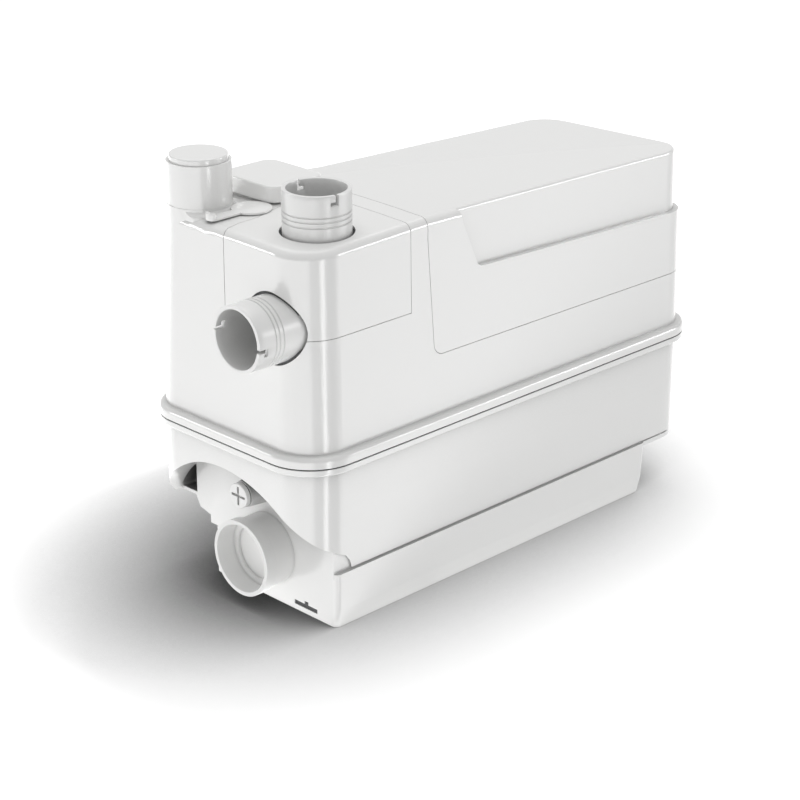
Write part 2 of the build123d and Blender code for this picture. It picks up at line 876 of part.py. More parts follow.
def socket(plane, foot, height):
    # Bayonet socket: tube with a collar at its foot, grooves and two hooked slots at its rim
    with BuildPart() as tube:
        with BuildSketch():
            Circle(socket_radius)
        extrude(amount=height)
        with BuildSketch(Plane.XY.offset(foot)):
            Circle(socket_collar_radius)
        extrude(amount=socket_collar_thickness)
        with BuildSketch():
            Circle(socket_radius - socket_wall)
        extrude(amount=height, mode=Mode.SUBTRACT)
        rim = tube.faces().sort_by(Axis.Z)[-1].edges()
        fillet(rim, socket_rim_edge)
        for down in groove_depths:
            with BuildSketch(Plane.XY.offset(height - down)):
                Circle(socket_radius + groove_cut)
                Circle(socket_radius - groove_cut, mode=Mode.SUBTRACT)
            extrude(amount=-groove_width, mode=Mode.SUBTRACT)
        slot_turn = degrees(slot_leg / socket_radius)
        for start in slot_angles:
            with BuildSketch(Plane.XY.offset(height - slot_depth)):
                with BuildLine():
                    inner = socket_radius - 2 * socket_wall
                    outer = socket_radius + socket_wall
                    CenterArc((0, 0), inner, start, slot_turn)
                    CenterArc((0, 0), outer, start, slot_turn)
                    for turn in (radians(start), radians(start + slot_turn)):
                        low = (inner * cos(turn), inner * sin(turn))
                        high = (outer * cos(turn), outer * sin(turn))
                        Line(low, high)
                make_face()
            extrude(amount=slot_leg_height, mode=Mode.SUBTRACT)
            with BuildSketch(Plane.XY.offset(height - slot_depth)):
                middle = start + degrees(slot_width / socket_radius) / 2
                with PolarLocations(socket_radius, 1, start_angle=middle):
                    Rectangle(3 * socket_wall, slot_width)
            extrude(amount=slot_depth, mode=Mode.SUBTRACT)
    return plane.location * tube.part


# Inlet sockets and their seals
top_socket_plane = vertical(top_inlet_x, top_inlet_y, top_socket_bottom)
with BuildPart() as top_inlet_socket:
    add(socket(top_socket_plane, top_collar_lift, top_inlet_rim - top_socket_bottom))

side_socket_plane = towards_left(side_socket_end, side_inlet_y, side_inlet_z)
with BuildPart() as side_inlet_socket:
    add(socket(side_socket_plane, side_collar_lift, side_socket_end - side_inlet_rim))
    collar_edge = ring(side_socket_plane, 2 * socket_collar_radius, socket_radius, side_socket_end + half_x)
    outside = collar_edge - walls_block(wall + seam, upper_lip_bottom, block_top)
    add(outside, mode=Mode.SUBTRACT)


def socket_seal(plane, lift):
    # Lip seal on the collar of a socket: a flange and a sleeve that fills the gap in the hole
    with BuildPart() as seal:
        add(ring(plane.offset(lift), socket_collar_radius, socket_radius, seal_thickness))
        sleeve = seal_thickness + seal_width
        add(ring(plane.offset(lift), socket_hole, socket_radius, sleeve))
    return seal.part


with BuildPart() as top_inlet_seal:
    add(socket_seal(top_socket_plane, top_collar_lift + socket_collar_thickness))

with BuildPart() as side_inlet_seal:
    add(socket_seal(side_socket_plane, side_collar_lift + socket_collar_thickness))
    flange_room = walls_block(wall + seam, upper_lip_bottom, block_top)
    sleeve_room = ring(side_socket_plane, socket_hole, 0, reach)
    sleeve_room = sleeve_room & walls_block(wall / 3, upper_lip_bottom, block_top)
    add(flange_room + sleeve_room, mode=Mode.INTERSECT)

# Low inlet with a D-shaped seat, its flap hangs on a pin behind the seat
low_plane = towards_left(0, low_inlet_y, low_inlet_z)
low_rim = skirt_left - low_rim_stand_off
low_seat_front = low_rim + low_seat_depth
low_seat_back = low_seat_front + low_seat_thickness
low_pin_x = low_seat_back + seat_gap + knuckle_radius
low_pin_z = low_inlet_z + low_pin_offset


def left_ring(x0, x1, outer, inner):
    # Ring round the axis of the low inlet from x0 to x1
    return ring(towards_left(x1, low_inlet_y, low_inlet_z), outer, inner, x1 - x0)


def knuckle(plane, radius, half):
    # Round bar centred on a plane
    return ring(plane.offset(-half), radius, 0, 2 * half)


low_pin_plane = Plane(origin=(low_pin_x, low_inlet_y, low_pin_z), x_dir=(1, 0, 0), z_dir=(0, 1, 0))

with BuildPart() as low_inlet_socket:
    add(left_ring(low_rim, low_rim + low_rim_length, low_rim_radius, low_bore_radius))
    add(left_ring(low_rim, skirt_left + wall, low_sleeve_radius, low_bore_radius))
    add(left_ring(low_seat_front, low_seat_back, low_sleeve_radius, 0))
    with BuildSketch(low_plane):
        Circle(low_flap_radius - seat_lap)
        with Locations((low_pin_offset - flap_chord - seat_lap + reach / 2, 0)):
            Rectangle(reach, reach, mode=Mode.SUBTRACT)
    extrude(amount=reach * 2, mode=Mode.SUBTRACT)
    # Two lugs that carry the pin
    for side in (-1, 1):
        y = low_inlet_y + side * (knuckle_half + lug_gap + lug_width / 2)
        lug_plane = Plane(origin=(low_pin_x, y, low_pin_z), x_dir=(1, 0, 0), z_dir=(0, 1, 0))
        add(knuckle(lug_plane, knuckle_radius + 0.2, lug_width / 2))
        y0, y1 = y - lug_width / 2, y + lug_width / 2
        x0, x1 = low_pin_x - knuckle_radius, low_pin_x + knuckle_radius
        add(box(x0, x1, y0, y1, low_pin_z, low_inlet_z + low_bore_radius))
    add(knuckle(low_pin_plane, pin_radius + pin_fit, reach / 10), mode=Mode.SUBTRACT)

pin_half = knuckle_half + lug_gap + lug_width
with BuildPart() as low_flap_pin:
    add(knuckle(low_pin_plane, pin_radius, pin_half))

with BuildPart() as low_flap:
    low_flap_back = low_seat_back + seat_gap + low_flap_thickness
    with BuildSketch(towards_left(low_flap_back, low_inlet_y, low_inlet_z)):
        Circle(low_flap_radius)
        with Locations((low_pin_offset - flap_chord + reach / 2, 0)):
            Rectangle(reach, reach, mode=Mode.SUBTRACT)
    extrude(amount=low_flap_thickness)
    arm_bottom = low_pin_z - flap_chord - 1
    y0, y1 = low_inlet_y - knuckle_half, low_inlet_y + knuckle_half
    add(box(low_seat_back + seat_gap, low_flap_back, y0, y1, arm_bottom, low_pin_z))
    add(knuckle(low_pin_plane, knuckle_radius, knuckle_half))
    add(knuckle(low_pin_plane, pin_radius + pin_clearance, reach / 10), mode=Mode.SUBTRACT)

# Drain plug with a cross slot, on a flat seal
boss_face = skirt_left - drain_boss_length
plug_plane = towards_left(boss_face - drain_seal_thickness - plug_gap, drain_y, drain_z)
with BuildPart() as drain_seal:
    seal_plane = towards_left(boss_face, drain_y, drain_z)
    seal_outside = drain_plug_radius - drain_plug_edge
    add(ring(seal_plane, seal_outside, drain_thread_radius + turn_clearance, drain_seal_thickness))

with BuildPart() as drain_plug:
    add(ring(plug_plane, drain_plug_radius, 0, drain_plug_head))
    fillet(drain_plug.faces().sort_by(Axis.X)[0].edges(), drain_plug_edge)
    add(ring(plug_plane, drain_thread_radius, 0, -drain_thread_length))
    for turn in (0, 90):
        with BuildSketch(plug_plane.offset(drain_plug_head - drain_slot_depth)):
            Rectangle(2 * drain_plug_radius - 4, drain_slot_width, rotation=turn)
        extrude(amount=drain_slot_depth, mode=Mode.SUBTRACT)

# Cap of the discharge tower
with BuildPart() as riser_cap:
    add(ring(vertical(riser_x, riser_y, riser_shoulder + plug_gap), cap_radius, 0, cap_height))
    fillet(riser_cap.faces().sort_by(Axis.Z)[-1].edges(), cap_edge)
    cap_foot = vertical(riser_x, riser_y, riser_shoulder - cap_plug_depth)
    add(ring(cap_foot, tower_inner - turn_clearance, 0, cap_plug_depth + 1))
    add(ring(cap_foot, tower_inner - turn_clearance - cap_wall, 0, cap_plug_depth), mode=Mode.SUBTRACT)

# Check valve in the tower
valve_bore = tower_inner - valve_clearance
with BuildPart() as check_valve_body:
    with BuildSketch(Plane.XZ.offset(-riser_y)):
        profile = [
            (valve_barb_bore, valve_bottom - valve_barb_length),
            (valve_barb_radius, valve_bottom - valve_barb_length),
            (valve_barb_radius, valve_bottom),
            (valve_bore, valve_bottom),
            (valve_bore, valve_bottom + wall),
            (valve_barb_radius, valve_bottom + wall),
            (valve_barb_radius, valve_seat_height - 2 * wall),
            (valve_bore, valve_seat_height - wall),
            (valve_bore, valve_top),
            (valve_chamber_radius, valve_top),
            (valve_chamber_radius, valve_seat_height),
            (valve_barb_bore, valve_seat_height),
        ]
        Polygon(*[(riser_x + r, z) for r, z in profile], align=None)
    revolve(axis=Axis((riser_x, riser_y, 0), (0, 0, 1)))
    valve_pin_x = riser_x - valve_pin_offset
    valve_pin_z = valve_seat_height + valve_pin_height
    valve_pin_plane = Plane(origin=(valve_pin_x, riser_y, valve_pin_z), x_dir=(1, 0, 0), z_dir=(0, 1, 0))
    add(knuckle(valve_pin_plane, pin_radius + pin_fit, reach / 5), mode=Mode.SUBTRACT)

with BuildPart() as check_flap_pin:
    add(knuckle(valve_pin_plane, pin_radius, valve_pin_half))

with BuildPart() as check_flap:
    flap_plane = vertical(riser_x, riser_y, valve_seat_height + seat_gap)
    add(ring(flap_plane, valve_flap_radius, 0, valve_flap_thickness))
    x0, x1 = valve_pin_x, riser_x - valve_flap_radius + 4
    y0, y1 = riser_y - knuckle_half, riser_y + knuckle_half
    add(box(x0, x1, y0, y1, valve_seat_height + seat_gap, valve_pin_z))
    add(knuckle(valve_pin_plane, knuckle_radius, knuckle_half))
    add(knuckle(valve_pin_plane, pin_radius + pin_clearance, reach / 10), mode=Mode.SUBTRACT)

# Discharge hose from the pump outlet up to the valve
outlet_end = pump_x - outlet_reach
hose_y = pump_y + outlet_offset
with BuildPart() as discharge_hose:
    with BuildLine() as hose_path:
        hose_top = valve_bottom - valve_barb_length
        start = (outlet_end, hose_y, outlet_z)
        Line((outlet_end + hose_overlap, hose_y, outlet_z), start)
        bend = [
            start,
            (outlet_end - hose_run, hose_y, outlet_z),
            (-half_x + hose_turn, riser_y - hose_shift, outlet_z),
            (riser_x, riser_y, outlet_z + hose_rise),
            (riser_x, riser_y, hose_top),
        ]
        Bezier(*bend)
        Line((riser_x, riser_y, hose_top), (riser_x, riser_y, hose_top + hose_overlap))
    with BuildSketch(Plane(origin=hose_path.line @ 0, z_dir=hose_path.line % 0)):
        Circle(outlet_radius + pin_fit + hose_wall)
        Circle(outlet_radius + pin_fit, mode=Mode.SUBTRACT)
    sweep()

with BuildPart() as hose_clamps:
    clamp_inner = outlet_radius + 2 * pin_fit + hose_wall
    clamp_margin = (hose_overlap - clamp_width) / 2
    low_clamp = towards_left(outlet_end + hose_overlap - clamp_margin, hose_y, outlet_z)
    high_clamp = vertical(riser_x, riser_y, hose_top + clamp_margin)
    for clamp_plane in (low_clamp, high_clamp):
        add(ring(clamp_plane, clamp_inner + clamp_thickness, clamp_inner, clamp_width))

# Filter pad with its basket and foam
with BuildPart() as filter_lid:
    add(pad_block(0, pad_top - pad_height, pad_top))
    fillet(filter_lid.faces().sort_by(Axis.Z)[-1].edges(), pad_edge)
    add(pad_block(coaming_wall, pad_top - pad_height, pad_top - wall), mode=Mode.SUBTRACT)
    add(pad_block(coaming_inset, coaming_top + basket_rim + plug_gap, pad_top - wall / 2))
    add(pad_block(coaming_inset + coaming_wall, coaming_top, pad_top - wall), mode=Mode.SUBTRACT)

basket_top = coaming_top + basket_rim
with BuildPart() as filter_basket:
    add(pad_block(coaming_inset, coaming_top, basket_top))
    inner_inset = coaming_inset + coaming_wall + basket_fit
    add(pad_block(inner_inset, basket_top - basket_depth, basket_top))
    foam_bottom = basket_top - basket_depth + basket_wall
    add(pad_block(inner_inset + basket_wall, foam_bottom, basket_top), mode=Mode.SUBTRACT)
    with BuildSketch(Plane.XY.offset(basket_top - basket_depth)):
        with Locations(pad_centre):
            with GridLocations(basket_pitch, basket_pitch, 4, 4):
                Circle(basket_hole)
    extrude(amount=basket_wall, mode=Mode.SUBTRACT)

with BuildPart() as filter_foam:
    add(pad_block(inner_inset + basket_wall, foam_bottom, basket_top - foam_drop))

# Pressure tube, air hose and pressure switch
with BuildPart() as pressure_tube:
    add(ring(vertical(tube_x, tube_y, tube_bottom), tube_radius, 0, boss_top - tube_bottom))
    collar_plane = vertical(tube_x, tube_y, boss_bottom - tube_collar_thickness)
    add(ring(collar_plane, tube_collar_radius, 0, tube_collar_thickness))
    nipple_plane = Plane(origin=(tube_x, tube_y, switch_z), x_dir=(0, 1, 0), z_dir=(1, 0, 0))
    add(ring(nipple_plane, nipple_radius, 0, tube_radius + nipple_length))
    tube_bore = ring(vertical(tube_x, tube_y, tube_bottom), tube_radius - tube_wall, 0, 3 * reach)
    add(tube_bore, mode=Mode.SUBTRACT)
    add(ring(nipple_plane, nipple_bore, 0, reach), mode=Mode.SUBTRACT)

switch_left = ridge_x - seam / 2
hose_start = tube_x + tube_radius + nipple_length - hose_grip
hose_stop = switch_left - bulkhead_thickness - 1
with BuildPart() as air_hose:
    air_plane = nipple_plane.offset(hose_start - tube_x)
    air_inner = nipple_radius + pin_fit
    add(ring(air_plane, air_inner + air_hose_wall, air_inner, hose_stop - hose_start))

with BuildPart() as pressure_switch:
    switch_plane = nipple_plane.offset(switch_left - tube_x)
    add(ring(switch_plane, switch_radius, 0, switch_length))
    add(ring(switch_plane, nipple_radius, 0, -(bulkhead_thickness + 1 + hose_grip)))
    inner_depth = switch_length - 2 * switch_wall
    switch_room = ring(switch_plane.offset(switch_wall), switch_radius - switch_wall, 0, inner_depth)
    add(switch_room, mode=Mode.SUBTRACT)
    add(ring(switch_plane.offset(-reach / 2), nipple_bore, 0, reach / 2 + switch_wall), mode=Mode.SUBTRACT)
    add(ring(switch_plane, plunger_radius + pin_clearance, 0, reach), mode=Mode.SUBTRACT)
    add(ring(switch_plane, switch_radius - switch_wall, nipple_bore, switch_wall))
    # Bracket of the micro switch
    face_x = switch_left + switch_length
    bracket_y = tube_y + microswitch_size[1] / 2
    bracket_end = face_x + plunger_gap + plunger_stand_off + microswitch_size[0]
    half = microswitch_size[2] / 2
    bracket_back = bracket_y + bracket_thickness
    add(box(face_x - 0.5, bracket_end, bracket_y, bracket_back, switch_z - half, switch_z + half))

with BuildPart() as diaphragm:
    diaphragm_plane = switch_plane.offset(switch_wall + diaphragm_lift)
    add(ring(diaphragm_plane, switch_radius - switch_wall, 0, diaphragm_thickness))

with BuildPart() as switch_plunger:
    plunger_start = switch_wall + diaphragm_lift + diaphragm_thickness + plug_gap
    plunger_stop = switch_length + plunger_stand_off
    add(ring(switch_plane.offset(plunger_start), plunger_radius, 0, plunger_stop - plunger_start))
    add(ring(switch_plane.offset(plunger_start), 2 * plunger_radius, 0, plunger_radius / 2))

with BuildPart() as micro_switch:
    x0 = face_x + plunger_stand_off + plunger_gap
    y0, y1 = tube_y - microswitch_size[1] / 2, bracket_y
    add(box(x0, x0 + microswitch_size[0], y0, y1, switch_z - half, switch_z + half))

with BuildPart() as pressure_cap:
    cap_plane = vertical(tube_x, tube_y, lever_bottom)
    add(ring(cap_plane, lever_radius, 0, lever_thickness))
    tip = (tube_x - lever_length, tube_y + lever_offset)
    with BuildSketch(Plane.XY.offset(lever_bottom)):
        make_hull(
            [
                Pos(tube_x - lever_radius / 2, tube_y) * Edge.make_circle(lever_root_radius),
                Pos(*tip) * Edge.make_circle(lever_tip_radius),
            ]
        )
    extrude(amount=lever_thickness)
    with BuildSketch(Plane.XY.offset(lever_bottom)):
        with Locations(tip):
            Circle(lever_tip_radius)
            Circle(lever_tip_radius - lever_grip_wall, mode=Mode.SUBTRACT)
        with Locations((tip[0] + lever_tip_radius, tip[1])):
            Rectangle(lever_tip_radius * 1.4, lever_tip_radius * 3, mode=Mode.SUBTRACT)
    extrude(amount=lever_grip_height)
    plug_foot = vertical(tube_x, tube_y, lever_bottom - lever_plug_depth)
    add(ring(plug_foot, tube_radius - tube_wall - turn_clearance, 0, lever_plug_depth + 1))

# Motor on the deck
with BuildPart() as motor_flange:
    add(ring(vertical(pump_x, pump_y, deck_top), motor_flange_radius, 0, motor_flange_thickness))
    add(ring(vertical(pump_x, pump_y, deck_top), hub_radius, 0, web + bearing_width))
    add(ring(vertical(pump_x, pump_y, deck_top), shaft_hole, 0, reach), mode=Mode.SUBTRACT)
    add(ring(vertical(pump_x, pump_y, bearing_low), bearing_radius, 0, reach), mode=Mode.SUBTRACT)
    add(screw_set(deck_top, screw_radius + screw_clearance, motor_flange_thickness), mode=Mode.SUBTRACT)

with BuildPart() as motor_housing:
    with BuildSketch(Plane.XY.offset(flange_top)):
        with Locations((pump_x, pump_y)):
            Circle(motor_radius)
            with PolarLocations(motor_radius, fin_count):
                Rectangle(2 * fin_depth, fin_width)
            Circle(motor_radius - motor_wall, mode=Mode.SUBTRACT)
    extrude(amount=motor_height)

with BuildPart() as motor_end_cap:
    add(ring(vertical(pump_x, pump_y, housing_top), motor_radius, 0, end_cap_thickness))
    add(ring(vertical(pump_x, pump_y, bearing_high), hub_radius, bearing_radius, bearing_width))

with BuildPart() as bearings:
    for z in (bearing_low, bearing_high):
        bearing_bore = shaft_radius + bearing_clearance
        add(ring(vertical(pump_x, pump_y, z), bearing_radius, bearing_bore, bearing_width))

stator_outer = motor_radius - motor_wall
with BuildPart() as stator:
    add(ring(vertical(pump_x, pump_y, stator_bottom), stator_outer, stator_bore, stator_height))

with BuildPart() as windings:
    for z in (stator_bottom - winding_height, stator_top):
        add(ring(vertical(pump_x, pump_y, z), winding_outer, winding_inner, winding_height))

with BuildPart() as rotor_core:
    add(ring(vertical(pump_x, pump_y, stator_bottom), stator_bore - air_gap, shaft_radius, stator_height))

with BuildPart() as shaft:
    shaft_length = housing_top - shaft_tip_gap - shaft_bottom
    add(ring(vertical(pump_x, pump_y, shaft_bottom), shaft_radius, 0, shaft_length))

with BuildPart() as shaft_seal:
    seal_z = deck_height - seal_ring_height
    add(ring(vertical(pump_x, pump_y, seal_z), seal_outer, shaft_radius + seal_running, seal_ring_height))

with BuildPart() as motor_screws:
    add(screw_set(flange_top, screw_head_radius, screw_head_height))
    add(screw_set(screw_end, screw_radius, flange_top - screw_end))

# Pump under the deck
with BuildPart() as pump_housing:
    add(ring(vertical(pump_x, pump_y, neck_top), pump_flange_radius, 0, pump_flange_thickness))
    add(ring(vertical(pump_x, pump_y, volute_top - 1), neck_radius, 0, neck_top - volute_top + 2))
    add(ring(vertical(pump_x, pump_y, volute_bottom), volute_radius, 0, volute_height))
    outlet_plane = towards_left(pump_x, hose_y, outlet_z)
    add(ring(outlet_plane, outlet_radius, 0, outlet_reach))
    inner_top = volute_top - volute_wall
    inner_radius = volute_radius - volute_wall
    pump_room = ring(vertical(pump_x, pump_y, volute_bottom), inner_radius, 0, inner_top - volute_bottom)
    add(pump_room, mode=Mode.SUBTRACT)
    add(ring(outlet_plane, outlet_bore, 0, outlet_reach), mode=Mode.SUBTRACT)
    add(ring(vertical(pump_x, pump_y, volute_bottom), shaft_hole, 0, reach), mode=Mode.SUBTRACT)
    add(ring(vertical(pump_x, pump_y, seal_z), seal_outer, 0, reach), mode=Mode.SUBTRACT)
    add(screw_set(screw_end, screw_radius, deck_height - screw_end), mode=Mode.SUBTRACT)

with BuildPart() as suction_cover:
    cover_foot = vertical(pump_x, pump_y, volute_bottom - suction_thickness)
    add(ring(cover_foot, volute_radius, suction_radius, suction_thickness))
    spigot = inner_radius - pin_fit
    add(ring(vertical(pump_x, pump_y, volute_bottom), spigot, spigot - wall, wall))

with BuildPart() as strainer:
    strainer_z = volute_bottom - suction_thickness - strainer_height + volute_wall
    add(ring(vertical(pump_x, pump_y, strainer_z), strainer_radius, 0, strainer_height - volute_wall))
    inner = strainer_radius - strainer_wall
    add(ring(vertical(pump_x, pump_y, strainer_z + strainer_wall), inner, 0, reach), mode=Mode.SUBTRACT)
    with BuildSketch(Plane.XY.offset(strainer_z + strainer_wall)):
        with Locations((pump_x, pump_y)):
            with PolarLocations(strainer_radius, strainer_slots):
                Rectangle(3 * strainer_wall, strainer_slot_width)
    extrude(amount=strainer_height / 2, mode=Mode.SUBTRACT)

with BuildPart() as impeller:
    add(ring(vertical(pump_x, pump_y, impeller_z + vane_height), impeller_radius, 0, impeller_plate))
    add(ring(vertical(pump_x, pump_y, impeller_z), impeller_hub, 0, impeller_hub_height + impeller_plate))
    with BuildSketch(Plane.XY.offset(impeller_z)):
        with Locations((pump_x, pump_y)):
            with PolarLocations((impeller_radius + impeller_hub) / 2, vane_count):
                Rectangle(impeller_radius - impeller_hub + 1, vane_thickness)
    extrude(amount=vane_height)
    add(ring(vertical(pump_x, pump_y, 0), shaft_radius, 0, 3 * reach), mode=Mode.SUBTRACT)

# Capacitor and cable gland in the motor room
with BuildPart() as capacitor:
    add(ring(vertical(capacitor_x, capacitor_y, deck_top), capacitor_radius, 0, capacitor_height))
    fillet(capacitor.faces().sort_by(Axis.Z)[-1].edges(), capacitor_edge)

gland_face = gland_plane.offset(gland_boss_outer - gland_boss_inner)
with BuildPart() as cable_gland:
    with BuildSketch(gland_face):
        RegularPolygon(gland_radius, gland_flats)
    extrude(amount=gland_stand_off)
    thread_length = gland_boss_outer - gland_boss_inner + 2 * gland_nut_thickness
    add(ring(gland_face, gland_thread_radius, 0, -thread_length))
    add(ring(gland_face.offset(-reach / 2), gland_bore, 0, reach), mode=Mode.SUBTRACT)

with BuildPart() as gland_nut:
    with BuildSketch(gland_plane):
        RegularPolygon(gland_radius + 1, gland_flats)
        Circle(gland_thread_radius + pin_fit, mode=Mode.SUBTRACT)
    extrude(amount=-gland_nut_thickness)

pieces = {
    "tank": tank,
    "tank_gasket": tank_gasket,
    "upper_cover": upper_cover,
    "corner_panel": corner_panel,
    "top_inlet_socket": top_inlet_socket,
    "side_inlet_socket": side_inlet_socket,
    "top_inlet_seal": top_inlet_seal,
    "side_inlet_seal": side_inlet_seal,
    "low_inlet_socket": low_inlet_socket,
    "low_flap_pin": low_flap_pin,
    "low_flap": low_flap,
    "drain_seal": drain_seal,
    "drain_plug": drain_plug,
    "riser_cap": riser_cap,
    "check_valve_body": check_valve_body,
    "check_flap_pin": check_flap_pin,
    "check_flap": check_flap,
    "discharge_hose": discharge_hose,
    "hose_clamps": hose_clamps,
    "filter_lid": filter_lid,
    "filter_basket": filter_basket,
    "filter_foam": filter_foam,
    "pressure_cap": pressure_cap,
    "pressure_tube": pressure_tube,
    "air_hose": air_hose,
    "pressure_switch": pressure_switch,
    "diaphragm": diaphragm,
    "switch_plunger": switch_plunger,
    "micro_switch": micro_switch,
    "motor_cover": motor_cover,
    "motor_flange": motor_flange,
    "motor_housing": motor_housing,
    "motor_end_cap": motor_end_cap,
    "bearings": bearings,
    "stator": stator,
    "windings": windings,
    "rotor_core": rotor_core,
    "shaft": shaft,
    "shaft_seal": shaft_seal,
    "motor_screws": motor_screws,
    "pump_housing": pump_housing,
    "suction_cover": suction_cover,
    "strainer": strainer,
    "impeller": impeller,
    "capacitor": capacitor,
    "cable_gland": cable_gland,
    "gland_nut": gland_nut,
}
for name, piece in pieces.items():
    piece.part.label = name
    export_step(piece.part, "parts/" + name + ".step")
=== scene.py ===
"""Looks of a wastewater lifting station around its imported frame: finishes, moulded details and a studio."""

import math

import bmesh
import bpy
from bpy.props import FloatProperty, FloatVectorProperty, PointerProperty
from mathutils import Matrix, Vector


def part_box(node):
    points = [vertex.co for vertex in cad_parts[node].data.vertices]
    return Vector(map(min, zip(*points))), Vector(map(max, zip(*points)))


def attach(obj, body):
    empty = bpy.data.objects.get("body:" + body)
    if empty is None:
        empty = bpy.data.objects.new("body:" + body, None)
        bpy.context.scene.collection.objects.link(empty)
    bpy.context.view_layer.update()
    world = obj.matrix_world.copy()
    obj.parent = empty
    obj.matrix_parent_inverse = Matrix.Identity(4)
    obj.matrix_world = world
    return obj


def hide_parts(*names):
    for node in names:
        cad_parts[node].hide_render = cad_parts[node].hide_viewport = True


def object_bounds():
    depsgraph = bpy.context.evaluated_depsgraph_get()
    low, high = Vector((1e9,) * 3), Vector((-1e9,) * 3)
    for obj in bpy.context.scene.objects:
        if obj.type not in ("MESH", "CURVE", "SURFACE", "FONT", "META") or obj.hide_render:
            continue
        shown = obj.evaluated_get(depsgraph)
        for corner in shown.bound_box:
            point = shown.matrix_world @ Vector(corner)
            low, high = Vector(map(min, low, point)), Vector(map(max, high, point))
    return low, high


bl_info = {
    "name": "Lifting Station Looks",
    "version": (1, 0, 0),
    "blender": (4, 5, 0),
    "location": "3D View > Sidebar > Station",
    "description": "Finishes, moulded details and studio of a small wastewater lifting station",
    "category": "Object",
}

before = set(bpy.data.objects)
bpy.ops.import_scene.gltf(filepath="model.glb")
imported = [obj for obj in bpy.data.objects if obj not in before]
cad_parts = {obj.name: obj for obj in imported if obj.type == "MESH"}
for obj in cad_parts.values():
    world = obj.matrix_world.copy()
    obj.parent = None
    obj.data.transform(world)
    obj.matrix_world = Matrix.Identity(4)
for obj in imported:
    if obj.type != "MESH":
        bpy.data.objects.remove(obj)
cad_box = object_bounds()

MM = 0.001


def linear(code):
    """The linear colour of an sRGB hex value, with an alpha of one."""
    parts = [int(code[i : i + 2], 16) / 255 for i in (0, 2, 4)]
    return tuple(p / 12.92 if p <= 0.04045 else ((p + 0.055) / 1.055) ** 2.4 for p in parts) + (1.0,)


def per_mm(size):
    """The scale of a pattern on Object coordinates whose features are this many millimetres apart."""
    return 1000.0 / size


# Sizes and colours that a user would change


def colour_property(name, description, code):
    """A colour from an sRGB hex value."""
    return FloatVectorProperty(
        name=name,
        description=description,
        subtype="COLOR",
        size=4,
        min=0.0,
        max=1.0,
        default=linear(code),
    )


def length_property(name, description, default, precision=3):
    """A length in metres."""
    return FloatProperty(
        name=name,
        description=description,
        subtype="DISTANCE",
        unit="LENGTH",
        default=default,
        precision=precision,
    )


def power_property(name, description, default):
    """A lamp's power in watts."""
    return FloatProperty(name=name, description=description, subtype="POWER", unit="POWER", default=default)


def gloss_property(description, default):
    """A roughness from 0.05, which is as smooth as a mould gets, to 1."""
    return FloatProperty(
        name="Roughness",
        description=description,
        subtype="FACTOR",
        min=0.05,
        max=1.0,
        default=default,
    )


def share_property(name, description, default):
    """A strength that isn't below zero."""
    return FloatProperty(name=name, description=description, min=0.0, default=default)


class StationCase(bpy.types.PropertyGroup):
    """White mouldings of the case"""

    white: colour_property("White", "Colour of the moulded case", "f0f0ef")
    gloss: gloss_property("Roughness of the polished mouldings", 0.19)
    peel: length_property("Orange peel", "Height of the faint waves that the melt leaves", 0.000012, 6)


class StationInlets(bpy.types.PropertyGroup):
    """Sockets, plug and low inlet"""

    white: colour_property("White", "Colour of the sockets and the plug", "e9e9e8")
    # The low tube is painted darker as shade, and the low flap lighter as a painted light
    tube_white_painted_shade: colour_property("Low tube", "Colour of the low inlet's tube", "e2e2e1")
    flap_white_painted_light: colour_property("Low flap", "Colour of the low inlet's flap", "fbfbfa")
    gloss: gloss_property("Roughness of the sockets", 0.3)


class StationInside(bpy.types.PropertyGroup):
    """Motor, pump, hoses, seals and electrics"""

    rubber: colour_property("Rubber", "Colour of the gaskets, hoses and diaphragm", "2a2b2c")
    polypropylene: colour_property("Polypropylene", "Colour of the pump housing and the valve", "8d9194")
    polyamide: colour_property("Polyamide", "Colour of the switches, the capacitor and the gland", "35373a")
    lamination: length_property(
        "Lamination", "Thickness of one sheet of the stator, as coarse as it needs to show", 0.001, 5
    )


class StationStage(bpy.types.PropertyGroup):
    """Floor, lamps and camera"""

    lens: FloatProperty(
        name="Lens",
        description="Focal length of the camera in millimetres on a 36 mm sensor",
        default=99.207,
        min=10.0,
    )
    floor: colour_property("Floor", "Colour of the floor", "f4f4f4")
    floor_size: length_property("Floor size", "Side of the floor", 14.0)
    # The shadow on the paper is painted, from how near the station stands over it
    shadow_reach: length_property("Shadow reach", "How far from the station the paper darkens", 0.16)
    shadow_depth: share_property("Shadow depth", "How dark the paper gets beside the station", 2.2)
    shadow_lean: FloatProperty(
        name="Shadow lean",
        description="How much more the shadow lies to the left",
        default=0.46,
    )
    floor_glow: share_property("Floor glow", "Light that the seen paper adds, up to an even white", 0.4)
    # The bounce is a painted light: the paper glows for the walls where its shadow is painted
    bounce: share_property("Bounce", "Light that the shaded paper gives back to the walls above it", 0.7)
    sky: share_property("Sky", "Strength of the even studio light", 0.634)
    overhead: power_property("Overhead lamp", "Power of the soft box over the station", 10.4)
    left_box: power_property("Left box", "Power of the soft box in front of the end face", 0.6)
    edge_boxes: power_property("Edge boxes", "Power per 0.3 m of the low boxes that light the top edges", 4.6)
    # The cards are a painted reflection that glows on the floor for glossy rays alone
    cards: share_property("Cards", "Strength of the low cards that the glossy walls mirror", 7.0)


# Small helpers for materials


def add_node(tree, kind, sockets=None, **settings):
    """Adds one shader node with its settings, its socket values and its links."""
    made = tree.nodes.new(kind)
    for name, value in settings.items():
        setattr(made, name, value)
    for key, value in (sockets or {}).items():
        if isinstance(value, bpy.types.NodeSocket):
            tree.links.new(value, made.inputs[key])
        else:
            made.inputs[key].default_value = value
    return made


def begin(name):
    """A new material, its tree and its Object coordinates."""
    made = bpy.data.materials.new(name)
    made.use_nodes = True
    made.node_tree.nodes.clear()
    place = add_node(made.node_tree, "ShaderNodeTexCoord").outputs["Object"]
    return made, made.node_tree, place


